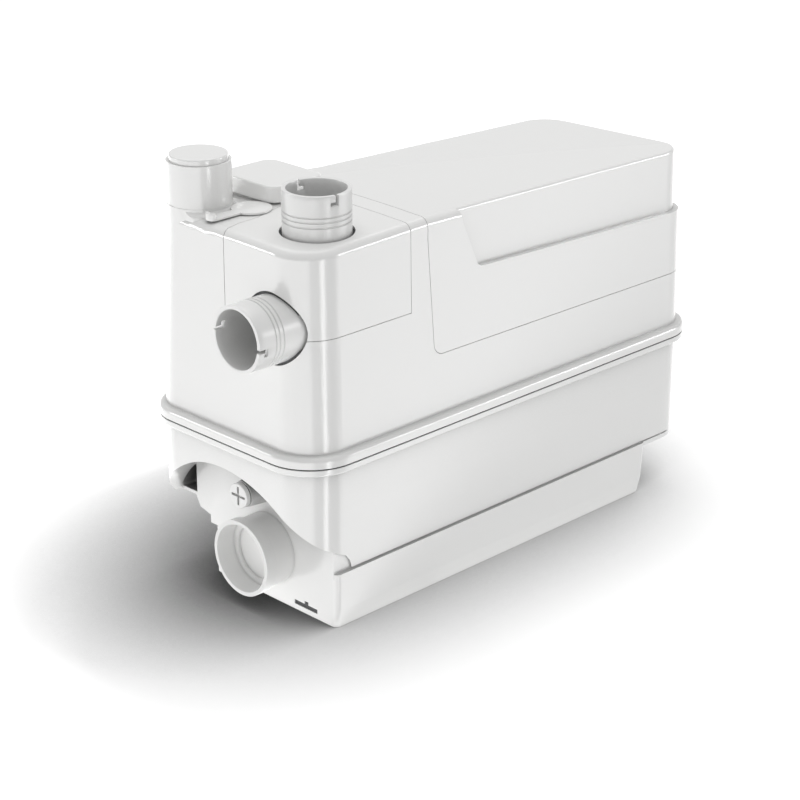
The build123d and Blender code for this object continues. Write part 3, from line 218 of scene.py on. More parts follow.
def finish_with(tree, sockets):
    """Closes a material with its surface shader."""
    shader = add_node(tree, "ShaderNodeBsdfPrincipled", sockets)
    add_node(tree, "ShaderNodeOutputMaterial", {"Surface": shader.outputs["BSDF"]})


def scaled(colour, share):
    """The same colour with its light scaled to a share."""
    return tuple(part * share for part in colour[:3]) + (1.0,)


# Materials


WHITE = (1.0, 1.0, 1.0, 1.0)


def moulded_abs(name, colour, roughness, peel, hollow=0.5):
    """ABS from a polished tool: an even white with a soft gloss and faint waves where the melt flowed.
    A painted shade greys the narrow gaps, which draws the seam lines. Hollow is what share of its white
    the painted shade keeps deep in a hollow, and above one it is a painted light there."""
    made, tree, place = begin(name)
    flow = add_node(tree, "ShaderNodeTexNoise", {"Vector": place, "Scale": per_mm(45), "Detail": 2.0})
    melt = add_node(tree, "ShaderNodeTexNoise", {"Vector": place, "Scale": per_mm(7), "Detail": 1.0})
    skin = add_node(tree, "ShaderNodeTexNoise", {"Vector": place, "Scale": per_mm(0.7), "Detail": 3.0})
    body = add_node(
        tree,
        "ShaderNodeMix",
        {0: flow.outputs["Fac"], 6: scaled(colour, 0.995), 7: colour},
        data_type="RGBA",
    )
    # Both of these are one in the open, and less where other faces stand nearer than the distance, and they
    # paint shade into the white below
    wide = add_node(
        tree,
        "ShaderNodeAmbientOcclusion",
        {"Distance": 30 * MM, "Color": WHITE},
        samples=6,
        only_local=True,
    )
    narrow = add_node(
        tree,
        "ShaderNodeAmbientOcclusion",
        {"Distance": 2.5 * MM, "Color": WHITE},
        samples=6,
    )
    # Painted shade: the white darkens deep in hollows and goes grey in narrow gaps
    deep = add_node(
        tree,
        "ShaderNodeMix",
        {0: wide.outputs["AO"], 6: scaled(colour, hollow), 7: body.outputs[2]},
        data_type="RGBA",
    )
    painted_gap_shade = add_node(
        tree,
        "ShaderNodeMix",
        {0: narrow.outputs["AO"], 6: scaled(colour, 0.74), 7: deep.outputs[2]},
        data_type="RGBA",
    )
    gloss = add_node(
        tree,
        "ShaderNodeMapRange",
        {"Value": flow.outputs["Fac"], "To Min": roughness - 0.01, "To Max": roughness + 0.015},
    )
    waves = add_node(
        tree,
        "ShaderNodeBump",
        {"Height": melt.outputs["Fac"], "Distance": peel, "Strength": 0.6},
    )
    grain = add_node(
        tree,
        "ShaderNodeBump",
        {
            "Height": skin.outputs["Fac"],
            "Distance": peel / 4,
            "Strength": 0.5,
            "Normal": waves.outputs["Normal"],
        },
    )
    finish_with(
        tree,
        {
            "Base Color": painted_gap_shade.outputs[2],
            "Roughness": gloss.outputs["Result"],
            "Normal": grain.outputs["Normal"],
            "IOR": 1.53,
        },
    )
    return made


def vulcanised_rubber(name, colour):
    """Moulded EPDM: near black and dull, with a dry bloom and a fine pimpled skin."""
    made, tree, place = begin(name)
    bloom = add_node(tree, "ShaderNodeTexNoise", {"Vector": place, "Scale": per_mm(14), "Detail": 4.0})
    pimples = add_node(tree, "ShaderNodeTexNoise", {"Vector": place, "Scale": per_mm(0.8), "Detail": 2.0})
    tone = add_node(
        tree,
        "ShaderNodeMix",
        {0: bloom.outputs["Fac"], 6: colour, 7: scaled(colour, 1.9)},
        data_type="RGBA",
    )
    dull = add_node(
        tree,
        "ShaderNodeMapRange",
        {"Value": bloom.outputs["Fac"], "To Min": 0.55, "To Max": 0.8},
    )
    skin = add_node(
        tree,
        "ShaderNodeBump",
        {"Height": pimples.outputs["Fac"], "Distance": 0.04 * MM, "Strength": 0.7},
    )
    finish_with(
        tree,
        {
            "Base Color": tone.outputs[2],
            "Roughness": dull.outputs["Result"],
            "Normal": skin.outputs["Normal"],
            "IOR": 1.52,
        },
    )
    return made


# Feed marks and wire turns are finer than a picture shows, so both are drawn this many millimetres apart
DRAWN_STEP = 2.262
# Blender's wave repeats after this many metres at a scale of one, and after twice as many along an axis
# when its bands are diagonal
WAVE_REPEAT = math.pi / 10


def turned_steel(name):
    """Stainless steel from a lathe: bright, with fine rings from the tool along its length."""
    made, tree, place = begin(name)
    rings = add_node(
        tree,
        "ShaderNodeTexWave",
        {"Vector": place, "Scale": per_mm(DRAWN_STEP) * 2 * WAVE_REPEAT, "Distortion": 0.6, "Detail": 2.0},
        bands_direction="DIAGONAL",
    )
    smear = add_node(tree, "ShaderNodeTexNoise", {"Vector": place, "Scale": per_mm(9), "Detail": 3.0})
    tone = add_node(
        tree,
        "ShaderNodeMix",
        {0: smear.outputs["Fac"], 6: linear("b4b6b9"), 7: linear("cfd1d3")},
        data_type="RGBA",
    )
    gloss = add_node(
        tree,
        "ShaderNodeMapRange",
        {"Value": smear.outputs["Fac"], "To Min": 0.2, "To Max": 0.34},
    )
    cut = add_node(
        tree,
        "ShaderNodeBump",
        {"Height": rings.outputs["Fac"], "Distance": 0.01 * MM, "Strength": 0.5},
    )
    finish_with(
        tree,
        {
            "Base Color": tone.outputs[2],
            "Metallic": 1.0,
            "Roughness": gloss.outputs["Result"],
            "Normal": cut.outputs["Normal"],
        },
    )
    return made


def die_cast_aluminium(name):
    """Die-cast aluminium: a grey skin with cloudy flow marks and a sandy grain."""
    made, tree, place = begin(name)
    clouds = add_node(tree, "ShaderNodeTexNoise", {"Vector": place, "Scale": per_mm(18), "Detail": 5.0})
    sand = add_node(tree, "ShaderNodeTexNoise", {"Vector": place, "Scale": per_mm(0.9), "Detail": 4.0})
    tone = add_node(
        tree,
        "ShaderNodeMix",
        {0: clouds.outputs["Fac"], 6: linear("8f9396"), 7: linear("b9bcbf")},
        data_type="RGBA",
    )
    dull = add_node(
        tree,
        "ShaderNodeMapRange",
        {"Value": clouds.outputs["Fac"], "To Min": 0.42, "To Max": 0.6},
    )
    skin = add_node(
        tree,
        "ShaderNodeBump",
        {"Height": sand.outputs["Fac"], "Distance": 0.08 * MM, "Strength": 0.8},
    )
    finish_with(
        tree,
        {
            "Base Color": tone.outputs[2],
            "Metallic": 1.0,
            "Roughness": dull.outputs["Result"],
            "Normal": skin.outputs["Normal"],
        },
    )
    return made


def stacked_sheet(name, step):
    """Punched electrical sheet in a stack: thin dark lines between bright, slightly blued edges."""
    made, tree, place = begin(name)
    # The dark line takes this share of a sheet
    line = 0.22
    height = add_node(tree, "ShaderNodeSeparateXYZ", {"Vector": place}).outputs["Z"]
    count = add_node(tree, "ShaderNodeMath", {0: height, 1: step}, operation="DIVIDE").outputs[0]
    part = add_node(tree, "ShaderNodeMath", {0: count}, operation="FRACT").outputs[0]
    sheet = add_node(tree, "ShaderNodeMapRange", {"Value": part, "From Max": line}).outputs["Result"]
    blue = add_node(tree, "ShaderNodeTexNoise", {"Vector": place, "Scale": per_mm(6), "Detail": 3.0})
    edge = add_node(
        tree,
        "ShaderNodeMix",
        {0: blue.outputs["Fac"], 6: linear("7c8087"), 7: linear("a09f9b")},
        data_type="RGBA",
    )
    tone = add_node(
        tree,
        "ShaderNodeMix",
        {0: sheet, 6: linear("2c2d2f"), 7: edge.outputs[2]},
        data_type="RGBA",
    )
    dull = add_node(
        tree,
        "ShaderNodeMapRange",
        {"Value": blue.outputs["Fac"], "To Min": 0.35, "To Max": 0.5},
    )
    steps = add_node(tree, "ShaderNodeBump", {"Height": sheet, "Distance": 0.1 * MM, "Strength": 0.8})
    finish_with(
        tree,
        {
            "Base Color": tone.outputs[2],
            "Metallic": 0.9,
            "Roughness": dull.outputs["Result"],
            "Normal": steps.outputs["Normal"],
        },
    )
    return made


def enamelled_wire(name):
    """Enamelled copper wire in a dense bundle, under varnish: warm brown turns with bright crests. The
    crests are painted lighter as a highlight, and the grooves between turns darker as painted shade.
    """
    made, tree, place = begin(name)
    turns = add_node(
        tree,
        "ShaderNodeTexWave",
        {
            "Vector": place,
            "Scale": per_mm(DRAWN_STEP) * WAVE_REPEAT,
            "Distortion": 3.0,
            "Detail": 2.0,
            "Detail Scale": 1.5,
        },
        wave_type="RINGS",
        rings_direction="Z",
    ).outputs["Fac"]
    tone = add_node(
        tree,
        "ShaderNodeMix",
        {0: turns, 6: linear("5a2c14"), 7: linear("c5753c")},
        data_type="RGBA",
    )
    round_wire = add_node(tree, "ShaderNodeBump", {"Height": turns, "Distance": 0.35 * MM, "Strength": 0.8})
    finish_with(
        tree,
        {
            "Base Color": tone.outputs[2],
            "Metallic": 0.75,
            "Roughness": 0.34,
            "Normal": round_wire.outputs["Normal"],
            "Coat Weight": 0.5,
        },
    )
    return made


def filled_plastic(name, colour):
    """Glass-filled polypropylene or polyamide: a body colour with short pale fibres and a dull skin."""
    made, tree, place = begin(name)
    fibres = add_node(
        tree,
        "ShaderNodeTexNoise",
        {"Vector": place, "Scale": per_mm(1.6), "Detail": 5.0, "Distortion": 1.6},
    )
    grain = add_node(tree, "ShaderNodeTexNoise", {"Vector": place, "Scale": per_mm(0.5), "Detail": 2.0})
    tone = add_node(
        tree,
        "ShaderNodeMix",
        {0: fibres.outputs["Fac"], 6: scaled(colour, 0.8), 7: scaled(colour, 1.25)},
        data_type="RGBA",
    )
    dull = add_node(
        tree,
        "ShaderNodeMapRange",
        {"Value": fibres.outputs["Fac"], "To Min": 0.45, "To Max": 0.62},
    )
    skin = add_node(
        tree,
        "ShaderNodeBump",
        {"Height": grain.outputs["Fac"], "Distance": 0.03 * MM, "Strength": 0.7},
    )
    finish_with(
        tree,
        {
            "Base Color": tone.outputs[2],
            "Roughness": dull.outputs["Result"],
            "Normal": skin.outputs["Normal"],
            "IOR": 1.49,
        },
    )
    return made


def open_foam(name):
    """Open-cell polyurethane foam with carbon: charcoal, with a net of small pores painted dark as shade."""
    made, tree, place = begin(name)
    cells = add_node(tree, "ShaderNodeTexVoronoi", {"Vector": place, "Scale": per_mm(1.4)})
    pores = cells.outputs["Distance"]
    tone = add_node(
        tree,
        "ShaderNodeMix",
        {0: pores, 6: linear("101112"), 7: linear("4a4c4e")},
        data_type="RGBA",
    )
    skin = add_node(tree, "ShaderNodeBump", {"Height": pores, "Distance": 0.7 * MM, "Strength": 1.0})
    finish_with(
        tree,
        {
            "Base Color": tone.outputs[2],
            "Roughness": 0.95,
            "Normal": skin.outputs["Normal"],
        },
    )
    return made


def finish_nodes(names, material):
    """Gives carried-over CAD nodes their material."""
    for name in names:
        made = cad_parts[name]
        made.data.materials.clear()
        made.data.materials.append(material)


# Small helpers for meshes


# Points nearer than this are one point
SAME_POINT = 0.001 * MM


def clean(mesh):
    """Merges doubled points and turns every face outwards."""
    bmesh.ops.remove_doubles(mesh, verts=mesh.verts, dist=SAME_POINT)
    bmesh.ops.recalc_face_normals(mesh, faces=mesh.faces)


def add_piece(mesh, name, material, body, sharp=35.0):
    """Turns a bmesh into a piece that rides on a body, with smooth faces up to an angle in degrees."""
    clean(mesh)
    shape = bpy.data.meshes.new(name)
    mesh.to_mesh(shape)
    mesh.free()
    for face in shape.polygons:
        face.use_smooth = True
    shape.set_sharp_from_angle(angle=math.radians(sharp))
    shape.materials.append(material)
    made = bpy.data.objects.new(name, shape)
    bpy.context.scene.collection.objects.link(made)
    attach(made, body)
    return made


def join(mesh, others):
    """Adds other bmeshes to a bmesh."""
    for other in others:
        shape = bpy.data.meshes.new("part")
        other.to_mesh(shape)
        other.free()
        mesh.from_mesh(shape)
        bpy.data.meshes.remove(shape)


def soften(mesh, edges, radius, segments):
    """Rounds edges by a bevel."""
    bmesh.ops.bevel(
        mesh,
        geom=edges,
        offset=radius,
        offset_type="OFFSET",
        affect="EDGES",
        segments=segments,
        profile=0.5,
        material=-1,
        clamp_overlap=True,
    )


def polar(radius, degrees, height=0.0):
    """A point at a radius, an angle in degrees and a height."""
    turn = math.radians(degrees)
    return Vector((radius * math.cos(turn), radius * math.sin(turn), height))


def lowest(edge):
    """The height of an edge's lower end."""
    return min(end.co.z for end in edge.verts)


def prism_from(outline, bottom, top, radius=0.0):
    """An upright prism on a closed outline of points, with its top edge rounded if a radius is given."""
    mesh = bmesh.new()
    face = mesh.faces.new([mesh.verts.new((point[0], point[1], bottom)) for point in outline])
    made = bmesh.ops.extrude_face_region(mesh, geom=[face])
    raised = [part for part in made["geom"] if isinstance(part, bmesh.types.BMVert)]
    bmesh.ops.translate(mesh, verts=raised, vec=(0, 0, top - bottom))
    if radius:
        soften(mesh, [edge for edge in mesh.edges if lowest(edge) > top - 0.01 * MM], radius, 3)
    return mesh


# Shapes of the new pieces


# Radii of the two upper sockets, as in the CAD
SOCKET_OUTER = 21.0 * MM
SOCKET_BORE = 18.4 * MM
# The bayonet's slot, measured down from the rim: its leg goes to the foot, and its hook starts at the top
LEG_FOOT = 6.6 * MM
HOOK_TOP = 4.2 * MM
# Degrees round the socket that the leg and the hook take, on each half of it
LEG_TURNS = (80, 86)
HOOK_TURNS = (70, 86)
# Grooves round the socket: how far down from the rim, how deep, and half of their flat and of their edge
GROOVES_DOWN = (13.1 * MM, 16.0 * MM, 19.2 * MM)
GROOVE_DEPTH = 0.5 * MM
GROOVE_HALF = 0.65 * MM
GROOVE_FLAT = 0.26 * MM


def bayonet_tube(height):
    """A socket's tube with its rim at height: grooves round it and two hooked slots for the bayonet pins."""
    outside = [(SOCKET_OUTER, 0.0), (SOCKET_OUTER, HOOK_TOP), (SOCKET_OUTER, LEG_FOOT)]
    for down in GROOVES_DOWN:
        for across, cut in ((-GROOVE_HALF, 0), (-GROOVE_FLAT, 1), (GROOVE_FLAT, 1), (GROOVE_HALF, 0)):
            outside.append((SOCKET_OUTER - cut * GROOVE_DEPTH, down + across))
    outside.append((SOCKET_OUTER, height))
    inside = [(SOCKET_BORE, down) for radius, down in reversed(outside)]

    # The wall's section, spun round the axis
    mesh = bmesh.new()
    section = [mesh.verts.new((radius, 0.0, height - down)) for radius, down in outside + inside]
    edges = [mesh.edges.new(pair) for pair in zip(section, section[1:] + section[:1])]
    bmesh.ops.spin(
        mesh,
        geom=section + edges,
        cent=(0, 0, 0),
        axis=(0, 0, 1),
        angle=2 * math.pi,
        steps=240,
        use_merge=True,
    )

    def in_slot(face):
        # The legs go down from the rim, and their hooks turn off at the foot
        middle = face.calc_center_median()
        turn = math.degrees(math.atan2(middle.y, middle.x)) % 180
        down = height - middle.z
        leg = down < LEG_FOOT and LEG_TURNS[0] < turn < LEG_TURNS[1]
        hook = HOOK_TOP < down < LEG_FOOT and HOOK_TURNS[0] < turn < HOOK_TURNS[1]
        return leg or hook

    bmesh.ops.delete(mesh, geom=[face for face in mesh.faces if in_slot(face)], context="FACES")
    # Each slot's edge on the outside is bridged to the one in the bore
    for side in (1, -1):
        around = [
            edge
            for edge in mesh.edges
            if edge.is_boundary
            and side * edge.verts[0].co.y > 0
            and abs(edge.verts[0].co.xy.length - edge.verts[1].co.xy.length) < SAME_POINT
        ]
        bmesh.ops.bridge_loops(mesh, edges=around)
    clean(mesh)
    rim_and_slots = [
        edge
        for edge in mesh.edges
        if len(edge.link_faces) == 2
        and edge.calc_face_angle() > math.radians(60)
        and lowest(edge) > height - LEG_FOOT - 0.1 * MM
    ]
    soften(mesh, rim_and_slots, 0.3 * MM, 2)
    return mesh


# The lever cap: the tube's axis, the tip's centre from that axis, and the tip's radius
LEVER_AXIS = Vector((-142.5 * MM, 17.0 * MM, 0.0))
LEVER_TIP = Vector((-30.0 * MM, 0.8 * MM, 0.0))
LEVER_TIP_RADIUS = 4.6 * MM
LEVER_DISC_RADIUS = 12.8 * MM
LEVER_THICKNESS = 1.3 * MM
LEVER_GRIP_HEIGHT = 4.5 * MM
LEVER_GRIP_INNER = 2.4 * MM
LEVER_PLUG_RADIUS = 7.5 * MM


def lever_cap(bottom, top):
    """A thin disc with a handle that narrows to a round tip, a raised grip there and the plug of the tube."""
    disc = [LEVER_AXIS + polar(LEVER_DISC_RADIUS, turn) for turn in range(-162, 163, 6)]
    tip = [LEVER_AXIS + LEVER_TIP + polar(LEVER_TIP_RADIUS, turn) for turn in range(95, 266, 9)]
    foot = top - LEVER_GRIP_HEIGHT
    cap = prism_from(disc + tip, foot, foot + LEVER_THICKNESS, 0.4 * MM)
    outer = [polar(LEVER_TIP_RADIUS, turn) for turn in range(105, 256, 10)]
    inner = [polar(LEVER_GRIP_INNER, turn) for turn in range(255, 104, -10)]
    grip = prism_from([LEVER_AXIS + LEVER_TIP + point for point in outer + inner], foot, top, 0.5 * MM)
    round_plug = [LEVER_AXIS + polar(LEVER_PLUG_RADIUS, turn) for turn in range(0, 360, 6)]
    # The plug goes a little into the disc, so that the two are one piece
    join(cap, (grip, prism_from(round_plug, bottom, foot + 0.2 * MM)))
    return cap


# The slot at the foot of the skirt, as in the CAD: sides, foot, shoulder and the notch above it
SLOT_SIDES = (-57.0 * MM, -36.0 * MM)
SLOT_FOOT = 3.5 * MM
SLOT_SHOULDER = 6.5 * MM
NOTCH_SIDES = (-48.75 * MM, -45.25 * MM)
NOTCH_TOP = 7.5 * MM
# How far towards -X the plate of painted shade behind it starts and ends
SLOT_DEPTHS = (159.6 * MM, 160.3 * MM)


def dark_in_slot():
    """A thin plate in the shape of an upturned T, upright in the skirt's slot, as painted shade."""
    left, right = SLOT_SIDES
    notch_left, notch_right = NOTCH_SIDES
    tee = [
        (left, SLOT_FOOT),
        (right, SLOT_FOOT),
        (right, SLOT_SHOULDER),
        (notch_right, SLOT_SHOULDER),
        (notch_right, NOTCH_TOP),
        (notch_left, NOTCH_TOP),
        (notch_left, SLOT_SHOULDER),
        (left, SLOT_SHOULDER),
    ]
    mesh = prism_from(tee, *SLOT_DEPTHS)
    # The prism's own axes: x is +Y, y is up and z points along -X
    upright = Matrix(((0, 0, -1, 0), (1, 0, 0, 0), (0, 1, 0, 0), (0, 0, 0, 1)))
    bmesh.ops.transform(mesh, matrix=upright, verts=mesh.verts)
    return mesh


# Operators, one for each group of pieces and one for the stage


class STATION_OT_case(bpy.types.Operator):
    """White shells of the case: tank, covers, corner panel, filter lid, lever cap and tower cap"""

    bl_idname = "station.case"
    bl_label = "Case"

    def execute(self, context):
        sizes = context.scene.station_case
        finish = (tuple(sizes.white), sizes.gloss, sizes.peel)
        # Painted shade greys these whites in their hollows and narrow gaps
        white = moulded_abs("abs_white_polished", *finish, hollow=0.68)
        finish_nodes(("upper_cover", "corner_panel", "motor_cover", "filter_lid", "riser_cap"), white)
        # The tank's recess and pocket are deeper than the others and get a darker painted shade
        finish_nodes(("tank",), moulded_abs("abs_white_tank", *finish, hollow=0.1))

        # The slot at the foot of the skirt opens into the dark underside, so a dark plate in it is painted
        # shade, with the rubber's finish
        dark = vulcanised_rubber("painted_shade_behind_slot", linear("3a3b3c"))
        add_piece(dark_in_slot(), "slot_shade", dark, "station")

        low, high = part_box("pressure_cap")
        cap = add_piece(lever_cap(low.z, high.z), "lever_cap", white, "pressure_cap")
        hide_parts("pressure_cap")
        return {"FINISHED"}


class STATION_OT_inlets(bpy.types.Operator):
    """Sockets of the three inlets, the flap of the low one and the drain plug"""

    bl_idname = "station.inlets"
    bl_label = "Inlets"

    def execute(self, context):
        sizes = context.scene.station_inlets
        peel = context.scene.station_case.peel
        white = moulded_abs("abs_white_satin", tuple(sizes.white), sizes.gloss, peel)
        finish_nodes(("drain_plug",), white)
        # The photograph's low inlet is bright inside, so its hollow paints light, not shade, on the flap and
        # the tube
        flap = moulded_abs("abs_white_low_flap", tuple(sizes.flap_white_painted_light), sizes.gloss, peel, hollow=1.1)
        finish_nodes(("low_flap",), flap)
        tube = moulded_abs("abs_white_low_inlet", tuple(sizes.tube_white_painted_shade), sizes.gloss, peel, hollow=1.2)
        finish_nodes(("low_inlet_socket",), tube)

        low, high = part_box("top_inlet_socket")
        mesh = bayonet_tube(high.z - low.z)
        bmesh.ops.translate(mesh, verts=mesh.verts, vec=((low.x + high.x) / 2, (low.y + high.y) / 2, low.z))
        made = add_piece(mesh, "top_bayonet_socket", white, "station")
        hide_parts("top_inlet_socket")

        low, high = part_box("side_inlet_socket")
        mesh = bayonet_tube(high.x - low.x)
        # The side inlet's axis, and its own axes: x is up and z points along -X
        across, up = -41.9 * MM, 194.5 * MM
        to_side = Matrix(((0, 0, -1, high.x), (0, 1, 0, across), (1, 0, 0, up), (0, 0, 0, 1)))
        bmesh.ops.transform(mesh, matrix=to_side, verts=mesh.verts)
        made = add_piece(mesh, "side_bayonet_socket", white, "station")
        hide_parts("side_inlet_socket")
        return {"FINISHED"}


class STATION_OT_rubber(bpy.types.Operator):
    """Gaskets, seals, hoses and diaphragm"""

    bl_idname = "station.rubber"
    bl_label = "Rubber pieces"

    def execute(self, context):
        rubber = vulcanised_rubber("epdm_black_moulded", tuple(context.scene.station_inside.rubber))
        names = (
            "tank_gasket",
            "top_inlet_seal",
            "side_inlet_seal",
            "drain_seal",
            "discharge_hose",
            "air_hose",
            "diaphragm",
            "shaft_seal",
            "check_flap",
        )
        finish_nodes(names, rubber)
        return {"FINISHED"}


class STATION_OT_motor(bpy.types.Operator):
    """Motor with its housing, flange, stator, windings, rotor, shaft and bearings, and the steel pins"""

    bl_idname = "station.motor"
    bl_label = "Motor"

    def execute(self, context):
        cast = die_cast_aluminium("aluminium_die_cast")
        sheet = stacked_sheet("electrical_steel_stacked", context.scene.station_inside.lamination)
        steel = turned_steel("stainless_steel_turned")
        steel_names = ("shaft", "bearings", "motor_screws", "hose_clamps", "low_flap_pin", "check_flap_pin")
        finish_nodes(("motor_flange", "motor_housing", "motor_end_cap"), cast)
        finish_nodes(("stator", "rotor_core"), sheet)
        finish_nodes(("windings",), enamelled_wire("copper_wire_enamelled"))
        finish_nodes(steel_names, steel)
        return {"FINISHED"}


class STATION_OT_pump(bpy.types.Operator):
    """Pump, strainer, impeller, check valve, filter basket and pressure tube"""

    bl_idname = "station.pump"
    bl_label = "Pump and valve"

    def execute(self, context):
        grey = filled_plastic("polypropylene_glass_filled", tuple(context.scene.station_inside.polypropylene))
        names = (
            "pump_housing",
            "suction_cover",
            "strainer",
            "impeller",
            "check_valve_body",
            "filter_basket",
            "pressure_tube",
        )
        finish_nodes(names, grey)
        return {"FINISHED"}


class STATION_OT_electrics(bpy.types.Operator):
    """Pressure switch, micro switch, capacitor and cable gland"""

    bl_idname = "station.electrics"
    bl_label = "Electrics"

    def execute(self, context):
        black = filled_plastic("polyamide_black_moulded", tuple(context.scene.station_inside.polyamide))
        names = ("pressure_switch", "switch_plunger", "micro_switch", "capacitor", "cable_gland", "gland_nut")
        finish_nodes(names, black)
        return {"FINISHED"}


class STATION_OT_filter(bpy.types.Operator):
    """Foam of the vent filter"""

    bl_idname = "station.filter"
    bl_label = "Filter foam"

    def execute(self, context):
        finish_nodes(("filter_foam",), open_foam("polyurethane_foam_open"))
        return {"FINISHED"}


# The stage


# Spot and turn of the camera, solved from the photograph's straight edges and round rims
CAMERA_SPOT = (-0.9853, -0.9617, 0.6463)
CAMERA_DOWN = 22.18
CAMERA_TURN = -44.75
# All lamps face this point of the station
AIM = (0.0, 0.0, 0.12)
# The floor lies this far below the station's foot
FLOOR_GAP = 0.2 * MM
# Colour of the paper where its painted shadow is at full depth
DARKEST = (0.02, 0.02, 0.02, 1.0)
# The case's near corner on the floor, which the cards stand round
NEAR_CORNER = (-0.17, -0.07, 0.0)
# Light cards round the near corner, a painted reflection that only glossy rays see: direction in degrees from
# +X, and share of the full strength
CARDS = (
    (0, 0.08),
    (100, 0.3),
    (122, 0.34),
    (135, 0.48),
    (228, 0.52),
    (236, 0.05),
    (240, 0.05),
    (243, 0.2),
    (246, 0.2),
    (249, 0.05),
    (257, 0.05),
    (260, 1.1),
    (268, 1.1),
    (271, 0.05),
    (300, 0.05),
    (309, 0.44),
    (328, 0.44),
    (334, 0.24),
    (340, 0.1),
    (348, 0.06),
)


def soft_box(name, spot, width, height, power):
    """A soft box lamp that faces the station."""
    lamp = bpy.data.lights.new(name, "AREA")
    lamp.shape = "RECTANGLE"
    lamp.size = width
    lamp.size_y = height
    lamp.energy = power
    made = bpy.data.objects.new(name, lamp)
    made.location = spot
    made.rotation_euler = (Vector(AIM) - Vector(spot)).to_track_quat("-Z", "Y").to_euler()
    bpy.context.scene.collection.objects.link(made)
    return made


def any_ray(tree, path, *kinds):
    """One for rays of any of these kinds, and zero for the others."""
    found = path.outputs[kinds[0]]
    for kind in kinds[1:]:
        both = {0: found, 1: path.outputs[kind]}
        found = add_node(tree, "ShaderNodeMath", both, operation="MAXIMUM").outputs[0]
    return found


def cards_on_floor(tree, place):
    """Bright and dark cards, as sectors on the floor round the near corner, for a painted reflection."""
    away = add_node(tree, "ShaderNodeVectorMath", {0: place, 1: NEAR_CORNER}, operation="SUBTRACT")
    parts = add_node(tree, "ShaderNodeSeparateXYZ", {"Vector": away.outputs[0]}).outputs
    angle = add_node(tree, "ShaderNodeMath", {0: parts["Y"], 1: parts["X"]}, operation="ARCTAN2")
    turns = add_node(tree, "ShaderNodeMath", {0: angle.outputs[0], 1: 2 * math.pi}, operation="DIVIDE")
    part = add_node(tree, "ShaderNodeMath", {0: turns.outputs[0]}, operation="FRACT")
    ramp = add_node(tree, "ShaderNodeValToRGB", {"Fac": part.outputs[0]})
    stops = ramp.color_ramp.elements
    stops.remove(stops[1])
    for index, (degrees, share) in enumerate(CARDS):
        stop = stops[0] if index == 0 else stops.new(degrees / 360)
        stop.position = degrees / 360
        stop.color = (share, share, share, 1.0)
    return ramp.outputs["Color"]


def seamless_paper(sizes):
    """Matt white paper with a faint tooth. What the eye sees of it goes up to an even white and takes a
    soft, deep painted shadow round the station. The walls mirror cards on it that only reflections see,
    a painted reflection that glows though no lamp is there."""
    made, tree, place = begin("paper_white_matt")
    path = add_node(tree, "ShaderNodeLightPath")
    seen = any_ray(tree, path, "Is Camera Ray", "Is Glossy Ray", "Is Transmission Ray")
    tooth = add_node(tree, "ShaderNodeTexNoise", {"Vector": place, "Scale": per_mm(600), "Detail": 1.0})
    floor = tuple(sizes.floor)
    paper = add_node(
        tree,
        "ShaderNodeMix",
        {0: tooth.outputs["Fac"], 6: scaled(floor, 0.99), 7: floor},
        data_type="RGBA",
    ).outputs[2]
    # The photograph's shadow is soft, deep and to the left, so a painted shadow darkens the paper where the
    # station stands over it, more on the side that the leaning normal turns towards it
    lean = add_node(
        tree,
        "ShaderNodeCombineXYZ",
        {"X": sizes.shadow_lean, "Y": -sizes.shadow_lean, "Z": 1.0},
    )
    near = add_node(
        tree,
        "ShaderNodeAmbientOcclusion",
        {"Distance": sizes.shadow_reach, "Color": WHITE, "Normal": lean.outputs["Vector"]},
        samples=24,
    )
    shade = add_node(
        tree,
        "ShaderNodeMath",
        {0: near.outputs["AO"], 1: sizes.shadow_depth},
        operation="POWER",
    ).outputs[0]
    dark = add_node(tree, "ShaderNodeMix", {0: shade, 6: DARKEST, 7: paper}, data_type="RGBA").outputs[2]
    colour = add_node(tree, "ShaderNodeMix", {0: seen, 6: paper, 7: dark}, data_type="RGBA").outputs[2]
    matt = add_node(tree, "ShaderNodeBsdfDiffuse", {"Color": colour})
    # The glow is for the eye. The plain paper, which lies in the dark under the station, glows for the walls
    # with a painted light in place of the light it lacks
    glow = add_node(tree, "ShaderNodeMath", {0: shade, 1: sizes.floor_glow}, operation="MULTIPLY")
    lack = add_node(tree, "ShaderNodeMath", {0: 1.0, 1: shade}, operation="SUBTRACT").outputs[0]
    back = add_node(tree, "ShaderNodeMath", {0: lack, 1: sizes.bounce}, operation="MULTIPLY")
    lift = add_node(
        tree,
        "ShaderNodeMix",
        {0: seen, 2: back.outputs[0], 3: glow.outputs[0]},
        data_type="FLOAT",
    ).outputs[0]
    # Painted reflection: the cards glow on the floor for glossy rays alone, so the walls mirror them though
    # no lamp is there
    glossy = path.outputs["Is Glossy Ray"]
    level = add_node(tree, "ShaderNodeMath", {0: glossy, 1: sizes.cards}, operation="MULTIPLY").outputs[0]
    cards = cards_on_floor(tree, place)
    mirrored = add_node(tree, "ShaderNodeMath", {0: cards, 1: level}, operation="MULTIPLY").outputs[0]
    total = add_node(tree, "ShaderNodeMath", {0: lift, 1: mirrored}, operation="ADD")
    bright = add_node(tree, "ShaderNodeEmission", {"Strength": total.outputs[0]})
    both = add_node(tree, "ShaderNodeAddShader", {0: matt.outputs[0], 1: bright.outputs[0]})
    add_node(tree, "ShaderNodeOutputMaterial", {"Surface": both.outputs[0]})
    return made


def studio_sky(strength):
    """An even light all round, which the eye sees as plain white."""
    made = bpy.data.worlds.new("studio")
    made.use_nodes = True
    tree = made.node_tree
    tree.nodes.clear()
    path = add_node(tree, "ShaderNodeLightPath")
    seen = any_ray(tree, path, "Is Camera Ray", "Is Transmission Ray")
    level = add_node(tree, "ShaderNodeMapRange", {"Value": seen, "To Min": strength, "To Max": 1.0})
    sky = add_node(tree, "ShaderNodeBackground", {"Color": WHITE, "Strength": level.outputs["Result"]})
    add_node(tree, "ShaderNodeOutputWorld", {"Surface": sky.outputs[0]})
    return made


